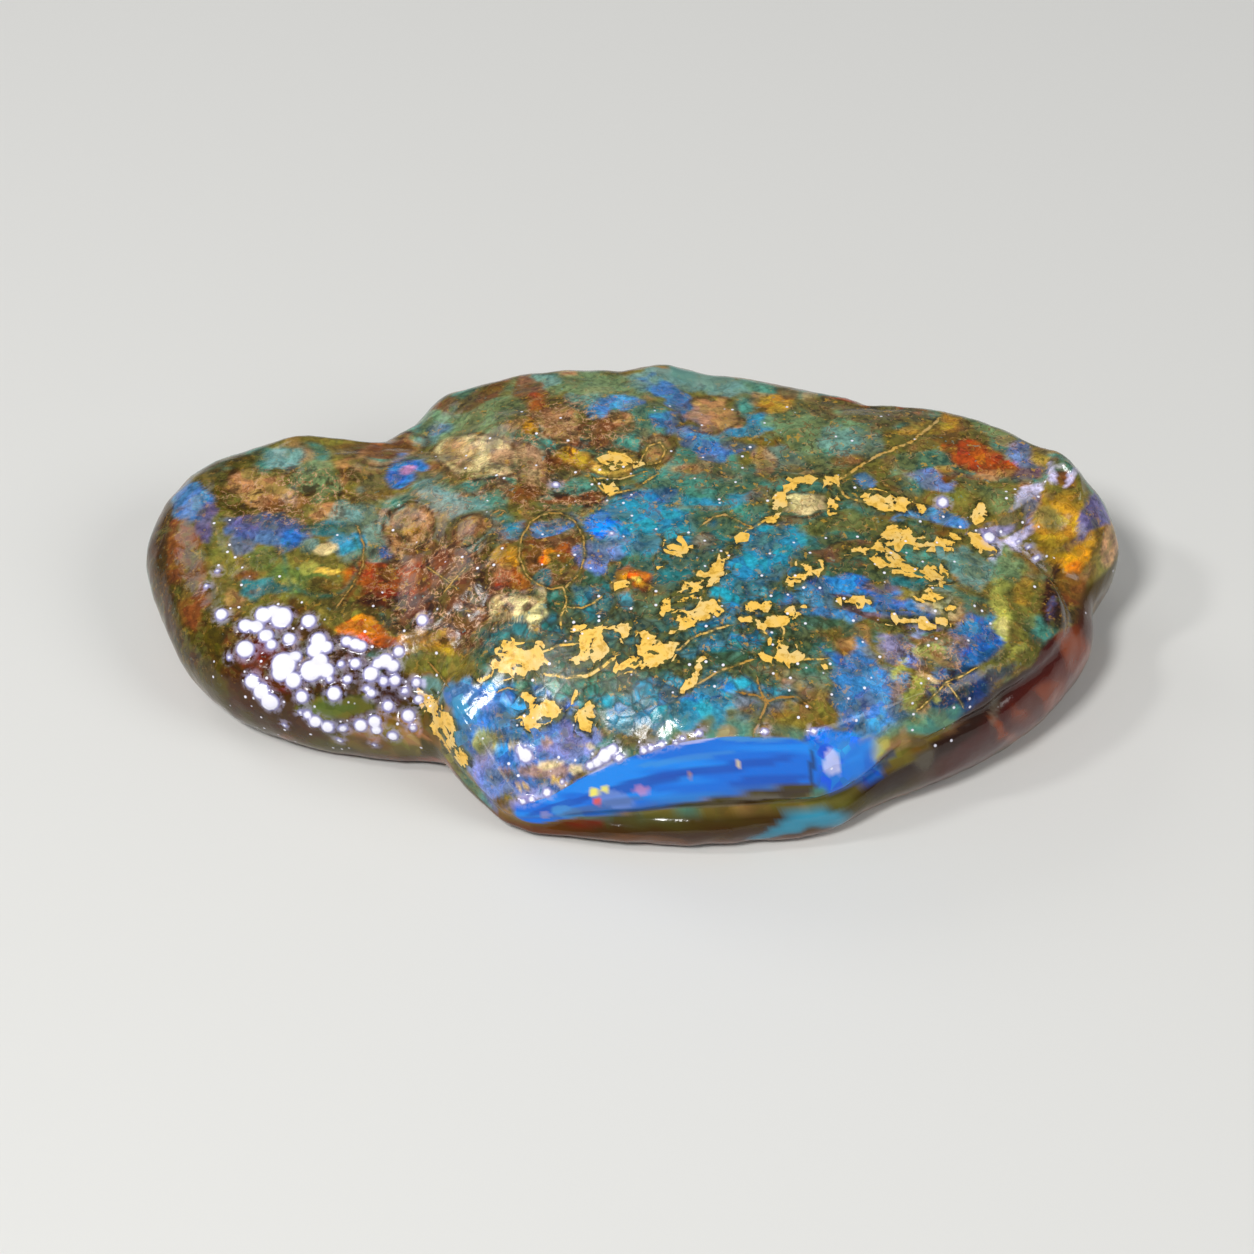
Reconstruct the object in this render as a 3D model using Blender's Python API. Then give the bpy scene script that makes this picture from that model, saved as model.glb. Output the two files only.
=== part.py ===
# Blue amber, a polished two-lobed slab: one natural piece, lying on its flattened underside.
#
# The stone is a closed surface worked out in polar form. Stations around its outline give where the
# side bulges most, how far in the top rim and the foot lie, and how high each of them is. Between the
# stations the values run smoothly, and each profile goes from the crown of the top over the rim, the
# side, the seam under the top layer and the foot to the middle of the underside. Lumps, steps, pits
# and the flat front bevel are then worked into that surface. Lengths are millimetres.

import bpy
import numpy as np

MM = 0.001

# Driving sizes of the finished stone
LENGTH = 62.0
DEPTH = 35.8
THICKNESS = 11.6

# Fineness of the grid: profiles around the stone, and rings on the top, shoulder, side and underside
PROFILES = 134
TOP_RINGS = 20
TOP_RING_CROWDING = 0.75
SHOULDER_RINGS = 9
SIDE_RINGS = 5
UNDER_RINGS = 2

# The middle of the polar grid
CENTRE_X = 0.0
CENTRE_Y = 1.5

# One row for each station, against the clock from the right tip as seen from above:
# x and y of the bulge, width of the shoulder, height of the rim, height of the bulge,
# set-back of the foot, height of the seam under the top layer, depth of that seam
BULGE_X, BULGE_Y, SHOULDER, RIM, BULGE, FOOT, SEAM, SEAM_DEPTH = range(8)
STATIONS = [
    (31.0, 4.0, 3.2, 8.2, 5.8, 5.0, 6.0, 0.0),  # right tip
    (30.6, 6.0, 2.8, 8.8, 5.8, 5.0, 6.0, 0.0),
    (29.0, 8.3, 2.4, 9.6, 5.6, 4.5, 6.0, 0.0),
    (26.9, 10.5, 2.2, 9.9, 5.4, 4.0, 6.0, 0.0),  # little crest at the back right
    (24.0, 12.8, 2.6, 9.7, 5.2, 3.6, 6.0, 0.0),
    (21.3, 14.6, 3.0, 9.6, 5.0, 3.4, 6.0, 0.0),
    (16.6, 15.4, 3.2, 9.6, 5.0, 3.4, 6.0, 0.0),
    (12.6, 17.0, 3.2, 9.6, 5.0, 3.4, 6.0, 0.0),
    (9.4, 18.0, 3.2, 9.6, 5.0, 3.4, 6.0, 0.0),
    (5.2, 19.0, 3.2, 9.6, 5.0, 3.4, 6.0, 0.0),
    (1.9, 19.9, 3.0, 9.7, 5.0, 3.6, 6.0, 0.0),  # furthest back
    (-1.4, 19.4, 3.0, 9.6, 5.0, 3.6, 6.0, 0.0),
    (-7.2, 19.4, 3.0, 9.4, 5.0, 3.6, 6.0, 0.0),
    (-10.0, 18.9, 3.0, 9.0, 4.8, 3.4, 6.0, 0.0),
    (-13.6, 18.2, 3.2, 8.4, 4.4, 3.2, 5.0, 0.0),
    (-15.4, 16.0, 3.4, 7.8, 4.0, 3.0, 5.0, 0.0),  # waist at the back
    (-18.2, 14.1, 3.8, 7.4, 3.6, 3.0, 5.0, 0.0),
    (-22.9, 14.9, 4.0, 7.3, 3.5, 3.0, 5.0, 0.0),
    (-26.5, 14.0, 4.2, 7.2, 3.5, 3.0, 5.0, 0.0),
    (-29.5, 12.5, 4.4, 7.1, 3.5, 3.0, 5.0, 0.0),
    (-31.4, 9.6, 4.5, 7.0, 3.5, 3.1, 5.0, 0.0),
    (-32.0, 6.0, 4.6, 6.8, 3.5, 3.2, 5.0, 0.0),  # left end
    (-31.0, 1.8, 4.6, 6.6, 3.4, 3.0, 5.0, 0.0),
    (-29.4, -2.3, 4.4, 6.4, 3.3, 2.8, 5.0, 0.0),
    (-26.3, -6.2, 4.2, 6.2, 3.2, 2.6, 5.0, 0.0),
    (-21.4, -8.4, 4.0, 6.0, 3.1, 2.4, 5.0, 0.0),
    (-17.0, -9.4, 3.6, 5.9, 3.1, 2.4, 5.0, 0.0),
    (-14.3, -9.8, 2.8, 6.0, 3.1, 2.4, 5.0, 0.0),
    (-12.7, -10.2, 1.3, 7.4, 3.4, 2.4, 4.0, 0.0),  # inner corner of the notch
    (-11.4, -12.2, 1.0, 6.9, 3.4, 2.4, 3.0, 0.2),
    (-9.8, -13.6, 0.9, 5.4, 2.6, 2.2, 2.2, 0.3),
    (-8.4, -14.9, 0.9, 3.4, 1.7, 1.8, 1.4, 0.3),  # front corner of the main body
    (-7.0, -15.6, 0.8, 2.4, 1.4, 1.6, 1.0, 0.3),
    (-4.8, -15.8, 0.8, 4.2, 1.5, 1.5, 1.6, 0.6),  # left point of the bevel
    (-2.2, -16.2, 0.9, 6.0, 1.6, 1.5, 2.2, 0.8),
    (0.3, -16.5, 1.3, 7.2, 1.7, 1.5, 2.6, 1.0),
    (2.4, -16.6, 1.7, 7.9, 1.8, 1.5, 2.9, 1.1),
    (7.6, -16.2, 1.9, 8.5, 1.8, 1.5, 3.1, 1.1),
    (11.3, -15.8, 1.9, 8.6, 1.8, 1.5, 3.3, 1.1),
    (13.4, -14.7, 1.8, 8.5, 2.0, 1.6, 3.3, 0.9),
    (14.9, -13.7, 1.6, 8.4, 2.6, 2.0, 4.0, 0.6),  # right end of the bevel
    (18.4, -12.3, 2.0, 8.5, 4.2, 2.6, 5.6, 0.5),
    (22.8, -9.9, 2.2, 8.4, 4.6, 2.8, 6.2, 0.45),
    (25.9, -6.9, 2.6, 8.3, 4.2, 2.8, 6.3, 0.3),
    (28.7, -2.6, 3.2, 8.2, 3.8, 2.8, 6.4, 0.2),
    (29.0, 0.8, 3.4, 8.1, 4.2, 3.2, 6.2, 0.1),
]
OUTLINE_SMOOTHING = 1.1  # degrees over which the outline is rounded
HEIGHT_SMOOTHING = 3.2  # degrees over which heights and widths are rounded
FINE_ANGLES = 3600  # angles between which the rounding is worked out

# The seam is cut only into the outer share of each profile
SEAM_WIDTH = 0.45
SEAM_FROM_SHARE = 0.7
SEAM_TO_SHARE = 0.8

# Crowns of the two lobes, with the soft change of height between them
LOBE_CROWN = 8.2
BODY_CROWN = 10.9
CROWN_FROM_X = -18.0
CROWN_TO_X = -7.0
CROWN_FLATNESS = 3.0

# Front bevel: a nearly upright plane that turns to the right past a crease
BEVEL_Y = -15.95
BEVEL_AT_Z = 3.4
BEVEL_LEAN = 0.22
BEVEL_TURN_X = 11.4
BEVEL_TURN = 0.62
BEVEL_LEFT_TURN = 0.16
BEVEL_START_X = (-8.6, -6.4)
BEVEL_END_X = (16.0, 18.0)
BEVEL_ABOVE_SEAM = 0.5

# The step at the notch: the top of the left lobe drops beside the main body
STEP_LINE_X = -12.1
STEP_SLANT = 0.10
STEP_WIDTH = 0.9
STEP_DROP = 1.5
STEP_FROM_Y = -4.6
STEP_TO_Y = -9.6
STEP_LOW_X = (-19.0, -14.0)  # where the dropped ground starts, and where it has its full depth

# Right end: the rim of the top layer is an arc, and the ground falls away outside it
TERRACE_X = 21.2
TERRACE_Y = -3.6
TERRACE_RADIUS = 5.1
TERRACE_DROP = 1.5
TERRACE_WIDTH = 1.3
TERRACE_FADE_Y = (2.8, 0.8)
TERRACE_SIDE = 2.0

# Soft lumps and hollows of the top: x, y, width, depth, height
SWELLS = [
    (27.4, 4.6, 3.0, 3.4, 0.9),  # lump at the right tip
    (27.2, 8.2, 1.3, 1.8, 0.7),  # little crest
    (23.4, 4.2, 2.6, 1.2, 0.5),  # pale ridge beside the tip
    (18.8, -4.5, 3.2, 1.4, 0.45),
    (13.6, -2.6, 3.6, 1.5, 0.35),
    (19.5, -8.2, 2.6, 1.2, 0.35),
    (-22.3, 12.9, 1.7, 1.4, 0.6),  # small knob on the back of the left lobe
    (-19.5, 10.2, 3.0, 1.6, 0.5),
    (-9.6, 11.2, 3.0, 1.6, 0.45),
    (-13.8, 5.8, 1.6, 1.9, 0.4),  # round swelling beside the waist
    (-5.1, 4.0, 1.9, 2.9, -0.35),  # ringed hollow
    (-14.8, 1.0, 2.0, 5.0, -0.55),  # valley between the lobes
    (9.8, 7.4, 2.4, 1.4, -0.4),  # pocket
    (-0.4, 11.5, 3.2, 1.8, 0.4),
    (3.6, 14.4, 1.6, 3.0, -0.3),
    (14.0, 11.0, 3.4, 2.2, 0.35),
    (-24.6, 7.0, 3.0, 2.0, -0.3),
]

# Beads on the left lobe: x, y, radius; each stands up by a share of its radius
BEADS = [
    (-24.9, -1.9, 1.2), (-22.3, 0.5, 1.5), (-22.9, -3.2, 1.5), (-20.3, -2.9, 1.6), (-23.4, -5.4, 1.2),
    (-20.9, -6.0, 1.1), (-17.3, -1.4, 1.2), (-17.6, -4.2, 1.2), (-15.3, -2.9, 1.1), (-18.8, -7.6, 1.0),
    (-16.4, -7.2, 1.0),
]
BEAD_RISE = 0.42
BEAD_ROUNDNESS = 0.75
BEAD_SIDE = -160.0
BEAD_SPREAD = 16.0
BEAD_CROWDING = 1.2


def smooth_step(t):
    """Zero below 0, one above 1, and a smooth run between them."""
    t = np.clip(t, 0.0, 1.0)
    return t * t * (3.0 - 2.0 * t)


def ramp(value, low, high):
    """Zero at the low value, one at the high value, and a smooth run between them."""
    return smooth_step((value - low) / (high - low))


def around(column, angles, smoothing):
    """A station value at each angle: straight between the stations, then rounded over some degrees."""
    rows = np.array(STATIONS)
    x, y = rows[:, BULGE_X] - CENTRE_X, rows[:, BULGE_Y] - CENTRE_Y
    values = np.hypot(x, y) if column == "radius" else rows[:, column]
    fine = np.linspace(-np.pi, np.pi, FINE_ANGLES, endpoint=False)
    run = np.interp(fine, np.arctan2(y, x), values, period=2.0 * np.pi)
    waves = np.fft.rfft(run)
    waves *= np.exp(-0.5 * (np.arange(len(waves)) * np.radians(smoothing)) ** 2)
    return np.interp(angles, fine, np.fft.irfft(waves, len(fine)), period=2.0 * np.pi)


def even_angles(count):
    """Angles that share the outline into arcs of like length, closer together beside the beads."""
    fine = np.linspace(-np.pi, np.pi, FINE_ANGLES + 1)
    radius = around("radius", fine, OUTLINE_SMOOTHING)
    x, y = radius * np.cos(fine), radius * np.sin(fine)
    from_beads = (np.degrees(fine[1:]) - BEAD_SIDE) / BEAD_SPREAD
    crowd = 1.0 + BEAD_CROWDING * np.exp(-(from_beads**2))
    run = np.concatenate([[0.0], np.cumsum(crowd * np.hypot(np.diff(x), np.diff(y)))])
    return np.interp(np.arange(count) / count * run[-1], run, fine)


def top_height(x, y, share, rim):
    """Height of the top: the rim height, raised towards the crown of its lobe, with its steps and swells."""
    crown = LOBE_CROWN + (BODY_CROWN - LOBE_CROWN) * ramp(x, CROWN_FROM_X, CROWN_TO_X)
    height = rim + (crown - rim) * (1.0 - share**CROWN_FLATNESS)
    line = STEP_LINE_X + STEP_SLANT * (y - STEP_TO_Y)
    beside = ramp(line - x, 0.0, STEP_WIDTH) * ramp(x, *STEP_LOW_X)
    height -= STEP_DROP * beside * ramp(y, STEP_FROM_Y, STEP_TO_Y)
    out = np.hypot(x - TERRACE_X, y - TERRACE_Y)
    past = ramp(out, TERRACE_RADIUS, TERRACE_RADIUS + TERRACE_WIDTH)
    facing = ramp(x, TERRACE_X, TERRACE_X + TERRACE_SIDE) * ramp(y, *TERRACE_FADE_Y)
    height -= TERRACE_DROP * past * facing
    for swell_x, swell_y, width, depth, rise in SWELLS:
        height += rise * np.exp(-(((x - swell_x) / width) ** 2) - ((y - swell_y) / depth) ** 2)
    for bead_x, bead_y, radius in BEADS:
        near = np.clip(1.0 - ((x - bead_x) ** 2 + (y - bead_y) ** 2) / radius**2, 0.0, 1.0)
        height += BEAD_RISE * radius * near**BEAD_ROUNDNESS
    return height


def stone_points():
    """Rings of points from the crown to the middle of the underside, as an array of rings by profiles."""
    angle = even_angles(PROFILES)
    radius = around("radius", angle, OUTLINE_SMOOTHING)
    shoulder, rim, bulge, foot, seam_height, seam_depth = (
        around(column, angle, HEIGHT_SMOOTHING) for column in (SHOULDER, RIM, BULGE, FOOT, SEAM, SEAM_DEPTH)
    )
    inner = radius - shoulder
    rings = []

    def place(out):
        return CENTRE_X + out * np.cos(angle), CENTRE_Y + out * np.sin(angle)

    for ring in range(1, TOP_RINGS + 1):
        share = (ring / TOP_RINGS) ** TOP_RING_CROWDING
        x, y = place(inner * share)
        rings.append((x, y, top_height(x, y, share, rim)))
    for ring in range(1, SHOULDER_RINGS + 1):
        turn = 0.5 * np.pi * ring / SHOULDER_RINGS
        x, y = place(inner + shoulder * np.sin(turn))
        top = top_height(x, y, 1.0, rim)
        rings.append((x, y, bulge + (top - bulge) * np.cos(turn)))
    for ring in range(1, SIDE_RINGS + 1):
        turn = 0.5 * np.pi * ring / SIDE_RINGS
        x, y = place(radius - foot * (1.0 - np.cos(turn)))
        rings.append((x, y, bulge * (1.0 - np.sin(turn))))
    for ring in range(1, UNDER_RINGS):
        x, y = place((radius - foot) * (1.0 - ring / UNDER_RINGS))
        rings.append((x, y, np.zeros(PROFILES)))
    points = np.moveaxis(np.array(rings), 1, 2)
    return cut_seam(cut_bevel(points), angle, seam_height, seam_depth)


def cut_bevel(points):
    """Points in front of the bevel's plane go back to it, from the seam up."""
    x, y, z = points[..., 0], points[..., 1], points[..., 2]
    seam = around(SEAM, np.arctan2(y - CENTRE_Y, x - CENTRE_X), HEIGHT_SMOOTHING)
    plane = BEVEL_Y + BEVEL_LEAN * (z - BEVEL_AT_Z) + BEVEL_TURN * np.maximum(x - BEVEL_TURN_X, 0.0)
    plane += BEVEL_LEFT_TURN * np.maximum(-x, 0.0)
    end_x, faded_x = BEVEL_END_X
    share = ramp(x, *BEVEL_START_X) * ramp(x, faded_x, end_x) * ramp(z, seam, seam + BEVEL_ABOVE_SEAM)
    points[..., 1] = y + np.maximum(plane - y, 0.0) * share
    return points


def cut_seam(points, angle, seam_height, seam_depth):
    """The seam is a narrow groove, cut inwards at its height on each profile."""
    near = np.exp(-(((points[..., 2] - seam_height) / SEAM_WIDTH) ** 2))
    outer = np.hypot(points[..., 0] - CENTRE_X, points[..., 1] - CENTRE_Y)
    edge = np.max(outer, axis=0)
    share = ramp(outer / edge, SEAM_FROM_SHARE, SEAM_TO_SHARE)
    inward = seam_depth * near * share
    points[..., 0] -= inward * np.cos(angle)
    points[..., 1] -= inward * np.sin(angle)
    return points


def closed_faces(ring_count, profile_count, crown, under):
    """Quads between neighbouring rings, and a fan of triangles at the crown and under the stone."""
    faces = []
    for ring in range(ring_count - 1):
        for profile in range(profile_count):
            after = (profile + 1) % profile_count
            a, b = ring * profile_count + profile, ring * profile_count + after
            faces.append((a, a + profile_count, b + profile_count, b))
    last = (ring_count - 1) * profile_count
    for profile in range(profile_count):
        after = (profile + 1) % profile_count
        faces.append((crown, profile, after))
        faces.append((under, last + after, last + profile))
    return faces


def fitted(points):
    """The points scaled to the driving sizes, with the middle of the underside at the origin."""
    low, high = points.min(axis=0), points.max(axis=0)
    scale = np.array([LENGTH, DEPTH, THICKNESS]) / (high - low)
    middle = np.array([(low[0] + high[0]) / 2.0, (low[1] + high[1]) / 2.0, low[2]])
    return (points - middle) * scale


def amber_material():
    """Polished blue amber: a deep teal, glossy and a little see-through."""
    material = bpy.data.materials.new("polished_blue_amber")
    material.use_nodes = True
    shader = material.node_tree.nodes["Principled BSDF"]
    shader.inputs["Base Color"].default_value = (0.045, 0.19, 0.22, 1.0)
    shader.inputs["Roughness"].default_value = 0.12
    shader.inputs["Metallic"].default_value = 0.0
    shader.inputs["IOR"].default_value = 1.54
    shader.inputs["Transmission Weight"].default_value = 0.3
    return material


def amber_stone():
    """The whole stone, as one closed mesh."""
    grid = stone_points()
    ring_count, profile_count = grid.shape[:2]
    top_middle = [CENTRE_X, CENTRE_Y, float(grid[0, :, 2].mean())]
    under_middle = [CENTRE_X, CENTRE_Y, 0.0]
    points = fitted(np.concatenate([grid.reshape(-1, 3), [top_middle, under_middle]])) * MM
    crown = ring_count * profile_count
    mesh = bpy.data.meshes.new("amber_stone")
    mesh.from_pydata(points.tolist(), [], closed_faces(ring_count, profile_count, crown, crown + 1))
    mesh.validate()
    mesh.shade_smooth()
    mesh.materials.append(amber_material())
    stone = bpy.data.objects.new("amber_stone", mesh)
    bpy.context.scene.collection.objects.link(stone)
    return stone


def main():
    for old in list(bpy.data.objects):
        bpy.data.objects.remove(old, do_unlink=True)
    amber_stone()


if __name__ == "__main__":
    main()
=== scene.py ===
# Polished blue amber, a two-lobed slab lying on a pale floor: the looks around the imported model.
# Lengths of the stone are millimetres until its mesh is made. Places in the picture are pixels of
# the 1254 x 1254 picture that the camera takes, and they are laid on the stone by that camera's view.

import bpy
import numpy as np
from mathutils import Matrix, Vector


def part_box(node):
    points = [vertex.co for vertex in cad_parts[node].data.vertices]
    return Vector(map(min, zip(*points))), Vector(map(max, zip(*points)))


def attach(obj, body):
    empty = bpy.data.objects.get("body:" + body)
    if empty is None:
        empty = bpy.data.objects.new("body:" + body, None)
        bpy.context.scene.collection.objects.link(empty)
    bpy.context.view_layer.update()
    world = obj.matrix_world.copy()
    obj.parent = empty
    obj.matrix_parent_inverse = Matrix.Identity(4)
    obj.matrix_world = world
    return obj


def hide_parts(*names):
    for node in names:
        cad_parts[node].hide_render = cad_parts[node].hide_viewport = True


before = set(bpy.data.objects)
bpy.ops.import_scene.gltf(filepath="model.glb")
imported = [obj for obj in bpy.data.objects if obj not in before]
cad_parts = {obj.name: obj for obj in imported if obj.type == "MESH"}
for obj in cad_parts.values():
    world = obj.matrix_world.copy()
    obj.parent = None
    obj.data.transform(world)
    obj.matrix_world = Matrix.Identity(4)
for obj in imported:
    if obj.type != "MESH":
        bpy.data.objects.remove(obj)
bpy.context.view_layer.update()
mm = 0.001
tiny = 1e-9  # keeps a division from having nothing below it


# Small helpers


def smoothStep(t):
    # zero below 0, one above 1, 3tt - 2ttt between them
    t = np.clip(t, 0.0, 1.0)
    return t * t * (3.0 - 2.0 * t)


def ramp(value, low, high):
    # the smooth step of (value - low) / (high - low), falling where low is the greater
    return smoothStep((value - low) / (high - low))


def bell(value, width):
    # exp(-(value / width)^2)
    return np.exp(-((value / width) ** 2))


def softNoise(points, size, seed):
    # random values on the corners of cubes of this size, blended by smooth weights: from -1 to 1
    side, offset = 32, 7.3
    corner = np.random.default_rng(seed).uniform(-1.0, 1.0, (side, side, side))
    place = points / size + offset
    whole = np.floor(place).astype(int)
    part = smoothStep(place - whole)
    total = np.zeros(points.shape[:-1])
    for step in np.ndindex(2, 2, 2):
        weight = np.prod(np.where(step, part, 1.0 - part), axis=-1)
        at = (whole + step) % side
        total += weight * corner[at[..., 0], at[..., 1], at[..., 2]]
    return total


def layeredNoise(points, rows, later=0):
    # the sum of soft noises, each row an amount, a size and a seed
    return sum(amount * softNoise(points, size, seed + later) for amount, size, seed in rows)


def linearColour(hexText):
    # sRGB hex to linear light
    parts = np.array([int(hexText[i:i + 2], 16) / 255.0 for i in (1, 3, 5)])
    return np.where(parts <= 0.04045, parts / 12.92, ((parts + 0.055) / 1.055) ** 2.4)


# The picture's view, which the camera takes and the markings are laid on by

pictureView = {
    "elevation": 45.0,  # degrees above the floor, looking along +Y
    "lens": 120.0,
    "sensor": 36.0,
    "distance": 262.0,
    "aim": (-0.25, -3.15, 5.0),
    "pixels": 1254,
}
lensScale = pictureView["lens"] / pictureView["sensor"] * pictureView["pixels"]
pixelsPerMm = lensScale / pictureView["distance"]


def viewFrame():
    # the eye, which is the aim less the distance along the view, and the view's own forward and up
    tilt = np.radians(pictureView["elevation"])
    forward = np.array([0.0, np.cos(tilt), -np.sin(tilt)])
    upward = np.array([0.0, np.sin(tilt), np.cos(tilt)])
    eye = np.array(pictureView["aim"]) - forward * pictureView["distance"]
    return eye, forward, upward


def pictureSpot(points):
    # the offset over the depth, times the lens over the sensor, in pixels from the middle
    eye, forward, upward = viewFrame()
    ray = points - eye
    depth = ray @ forward
    middle = pictureView["pixels"] / 2.0
    return middle + lensScale * ray[..., 0] / depth, middle - lensScale * (ray @ upward) / depth


# The stone's form

stoneForm = {
    "profiles": 716,
    "topRings": 90,
    "topCrowding": 0.88,
    "shoulderRings": 27,
    "sideRings": 13,
    "underRings": 6,
    "centre": (0.0, 1.5),
    # against the clock from the right tip: x and y of the bulge, shoulder width, rim height,
    # bulge height, set-back of the foot, seam height, seam depth
    "stations": [
        (31.0, 4.0, 3.2, 8.2, 5.8, 5.0, 6.0, 0.0),  # right tip
        (30.6, 6.0, 2.8, 8.8, 5.8, 5.0, 6.0, 0.0),
        (29.0, 8.3, 2.4, 9.6, 5.6, 4.5, 6.0, 0.0),
        (26.9, 10.5, 2.2, 9.9, 5.4, 4.0, 6.0, 0.0),  # little crest at the back right
        (24.0, 12.8, 2.6, 9.7, 5.2, 3.6, 6.0, 0.0),
        (21.3, 14.6, 3.0, 9.6, 5.0, 3.4, 6.0, 0.0),
        (16.6, 15.4, 3.2, 9.6, 5.0, 3.4, 6.0, 0.0),
        (12.6, 17.0, 3.2, 9.6, 5.0, 3.4, 6.0, 0.0),
        (9.4, 18.0, 3.2, 9.6, 5.0, 3.4, 6.0, 0.0),
        (5.2, 19.0, 3.2, 9.6, 5.0, 3.4, 6.0, 0.0),
        (1.9, 19.9, 3.0, 9.7, 5.0, 3.6, 6.0, 0.0),  # furthest back
        (-1.4, 19.4, 3.0, 9.6, 5.0, 3.6, 6.0, 0.0),
        (-7.2, 19.4, 3.0, 9.4, 5.0, 3.6, 6.0, 0.0),
        (-10.0, 18.9, 3.0, 9.0, 4.8, 3.4, 6.0, 0.0),
        (-13.6, 18.2, 3.2, 8.4, 4.4, 3.2, 5.0, 0.0),
        (-15.4, 16.0, 3.4, 7.8, 4.0, 3.0, 5.0, 0.0),  # waist at the back
        (-18.2, 14.1, 3.8, 7.4, 3.6, 3.0, 5.0, 0.0),
        (-22.9, 14.9, 4.0, 7.3, 3.5, 3.0, 5.0, 0.0),
        (-26.5, 14.0, 4.2, 7.2, 3.5, 3.0, 5.0, 0.0),
        (-29.5, 12.5, 4.4, 7.1, 3.5, 3.0, 5.0, 0.0),
        (-31.4, 9.6, 4.5, 7.0, 3.5, 3.1, 5.0, 0.0),
        (-32.0, 6.0, 4.6, 6.8, 3.5, 3.2, 5.0, 0.0),  # left end
        (-31.0, 1.8, 4.6, 6.6, 3.4, 3.0, 5.0, 0.0),
        (-29.4, -2.3, 4.4, 6.4, 3.3, 2.8, 5.0, 0.0),
        (-26.3, -6.2, 4.2, 6.2, 3.2, 2.6, 5.0, 0.0),
        (-21.4, -8.4, 4.0, 6.0, 3.1, 2.4, 5.0, 0.0),
        (-17.0, -9.4, 3.6, 5.9, 3.1, 2.4, 5.0, 0.0),
        (-14.3, -9.8, 2.8, 6.0, 3.1, 2.4, 5.0, 0.0),
        (-12.7, -10.2, 1.3, 7.4, 3.4, 2.4, 4.0, 0.0),  # inner corner of the notch
        (-11.4, -12.2, 1.0, 6.9, 3.4, 2.4, 3.0, 0.2),
        (-9.8, -13.6, 0.9, 5.4, 2.6, 2.2, 2.2, 0.3),
        (-8.4, -14.9, 0.9, 3.4, 1.7, 1.8, 1.4, 0.3),  # front corner of the main body
        (-7.0, -15.6, 0.8, 2.4, 1.4, 1.6, 1.0, 0.3),
        (-4.8, -15.8, 0.8, 4.2, 1.5, 1.5, 1.6, 0.6),  # left point of the bevel
        (-2.2, -16.2, 0.9, 6.0, 1.6, 1.5, 2.2, 0.8),
        (0.3, -16.5, 1.3, 7.2, 1.7, 1.5, 2.6, 1.0),
        (2.4, -16.6, 1.7, 7.9, 1.8, 1.5, 2.9, 1.1),
        (7.6, -16.2, 1.9, 8.5, 1.8, 1.5, 3.1, 1.1),
        (11.3, -15.8, 1.9, 8.6, 1.8, 1.5, 3.3, 1.1),
        (13.4, -14.7, 1.8, 8.5, 2.0, 1.6, 3.3, 0.9),
        (14.9, -13.7, 1.6, 8.4, 2.6, 2.0, 4.0, 0.6),  # right end of the bevel
        (18.4, -12.3, 2.0, 8.5, 4.2, 2.6, 5.6, 0.5),
        (22.8, -9.9, 2.2, 8.4, 4.6, 2.8, 6.2, 0.45),
        (25.9, -6.9, 2.6, 8.3, 4.2, 2.8, 6.3, 0.3),
        (28.7, -2.6, 3.2, 8.2, 3.8, 2.8, 6.4, 0.2),
        (29.0, 0.8, 3.4, 8.1, 4.2, 3.2, 6.2, 0.1),
    ],
    "fineAngles": 3600,
    "outlineRounding": 1.1,  # degrees
    "heightRounding": 3.2,
    "beadCrowding": (0.5, -160.0, 22.0),  # more profiles by this share, at this angle, and its width
    "seamWidth": 0.45,
    "seamReach": (0.7, 0.8),  # share of the radius where the seam starts and is full
    "lobeCrown": 8.2,
    "bodyCrown": 10.9,
    "crownChange": (-18.0, -7.0),
    "crownFlatness": 3.0,
    "bevelPlane": {"y": -15.95, "atZ": 3.4, "lean": 0.22, "turnX": 11.4, "turn": 0.62, "leftTurn": 0.16,
                   "seamFade": 0.5},
    "bevelStart": (-8.6, -6.4),
    "bevelEnd": (16.0, 18.0),
    "azureEnd": (15.2, 14.2),
    "notchStep": {"x": -12.1, "slant": 0.10, "width": 0.9, "drop": 1.5, "fromY": -4.6, "toY": -9.6,
                  "fadeX": (-19.0, -14.0)},
    "terrace": {"x": 21.2, "y": -3.6, "radius": 5.1, "drop": 1.5, "width": 1.3, "fadeX": 2.0,
                "fadeY": (2.8, 0.8)},
    # x, y, width, depth, height of soft lumps and hollows
    "swells": [
        (27.4, 4.6, 3.0, 3.4, 0.9),  # lump at the right tip
        (27.2, 8.2, 1.3, 1.8, 0.7),  # little crest
        (23.4, 4.2, 2.6, 1.2, 0.5),  # pale ridge beside the tip
        (18.8, -4.5, 3.2, 1.4, 0.45),
        (13.6, -2.6, 3.6, 1.5, 0.35),
        (19.5, -8.2, 2.6, 1.2, 0.35),
        (-22.3, 12.9, 1.7, 1.4, 0.6),  # small knob on the back of the left lobe
        (-19.5, 10.2, 3.0, 1.6, 0.5),
        (-9.6, 11.2, 3.0, 1.6, 0.45),
        (-13.8, 5.8, 1.6, 1.9, 0.4),  # round swelling beside the waist
        (-5.1, 4.0, 1.9, 2.9, -0.35),  # ringed hollow
        (-14.8, 1.0, 2.0, 5.0, -0.55),  # valley between the lobes
        (9.8, 7.4, 2.4, 1.4, -0.4),  # pocket
        (-0.4, 11.5, 3.2, 1.8, 0.4),
        (3.6, 14.4, 1.6, 3.0, -0.3),
        (14.0, 11.0, 3.4, 2.2, 0.35),
        (-24.6, 7.0, 3.0, 2.0, -0.3),
    ],
}


def angleOf(x, y):
    # the direction from the stone's centre, in radians
    return np.arctan2(y - stoneForm["centre"][1], x - stoneForm["centre"][0])


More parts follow.
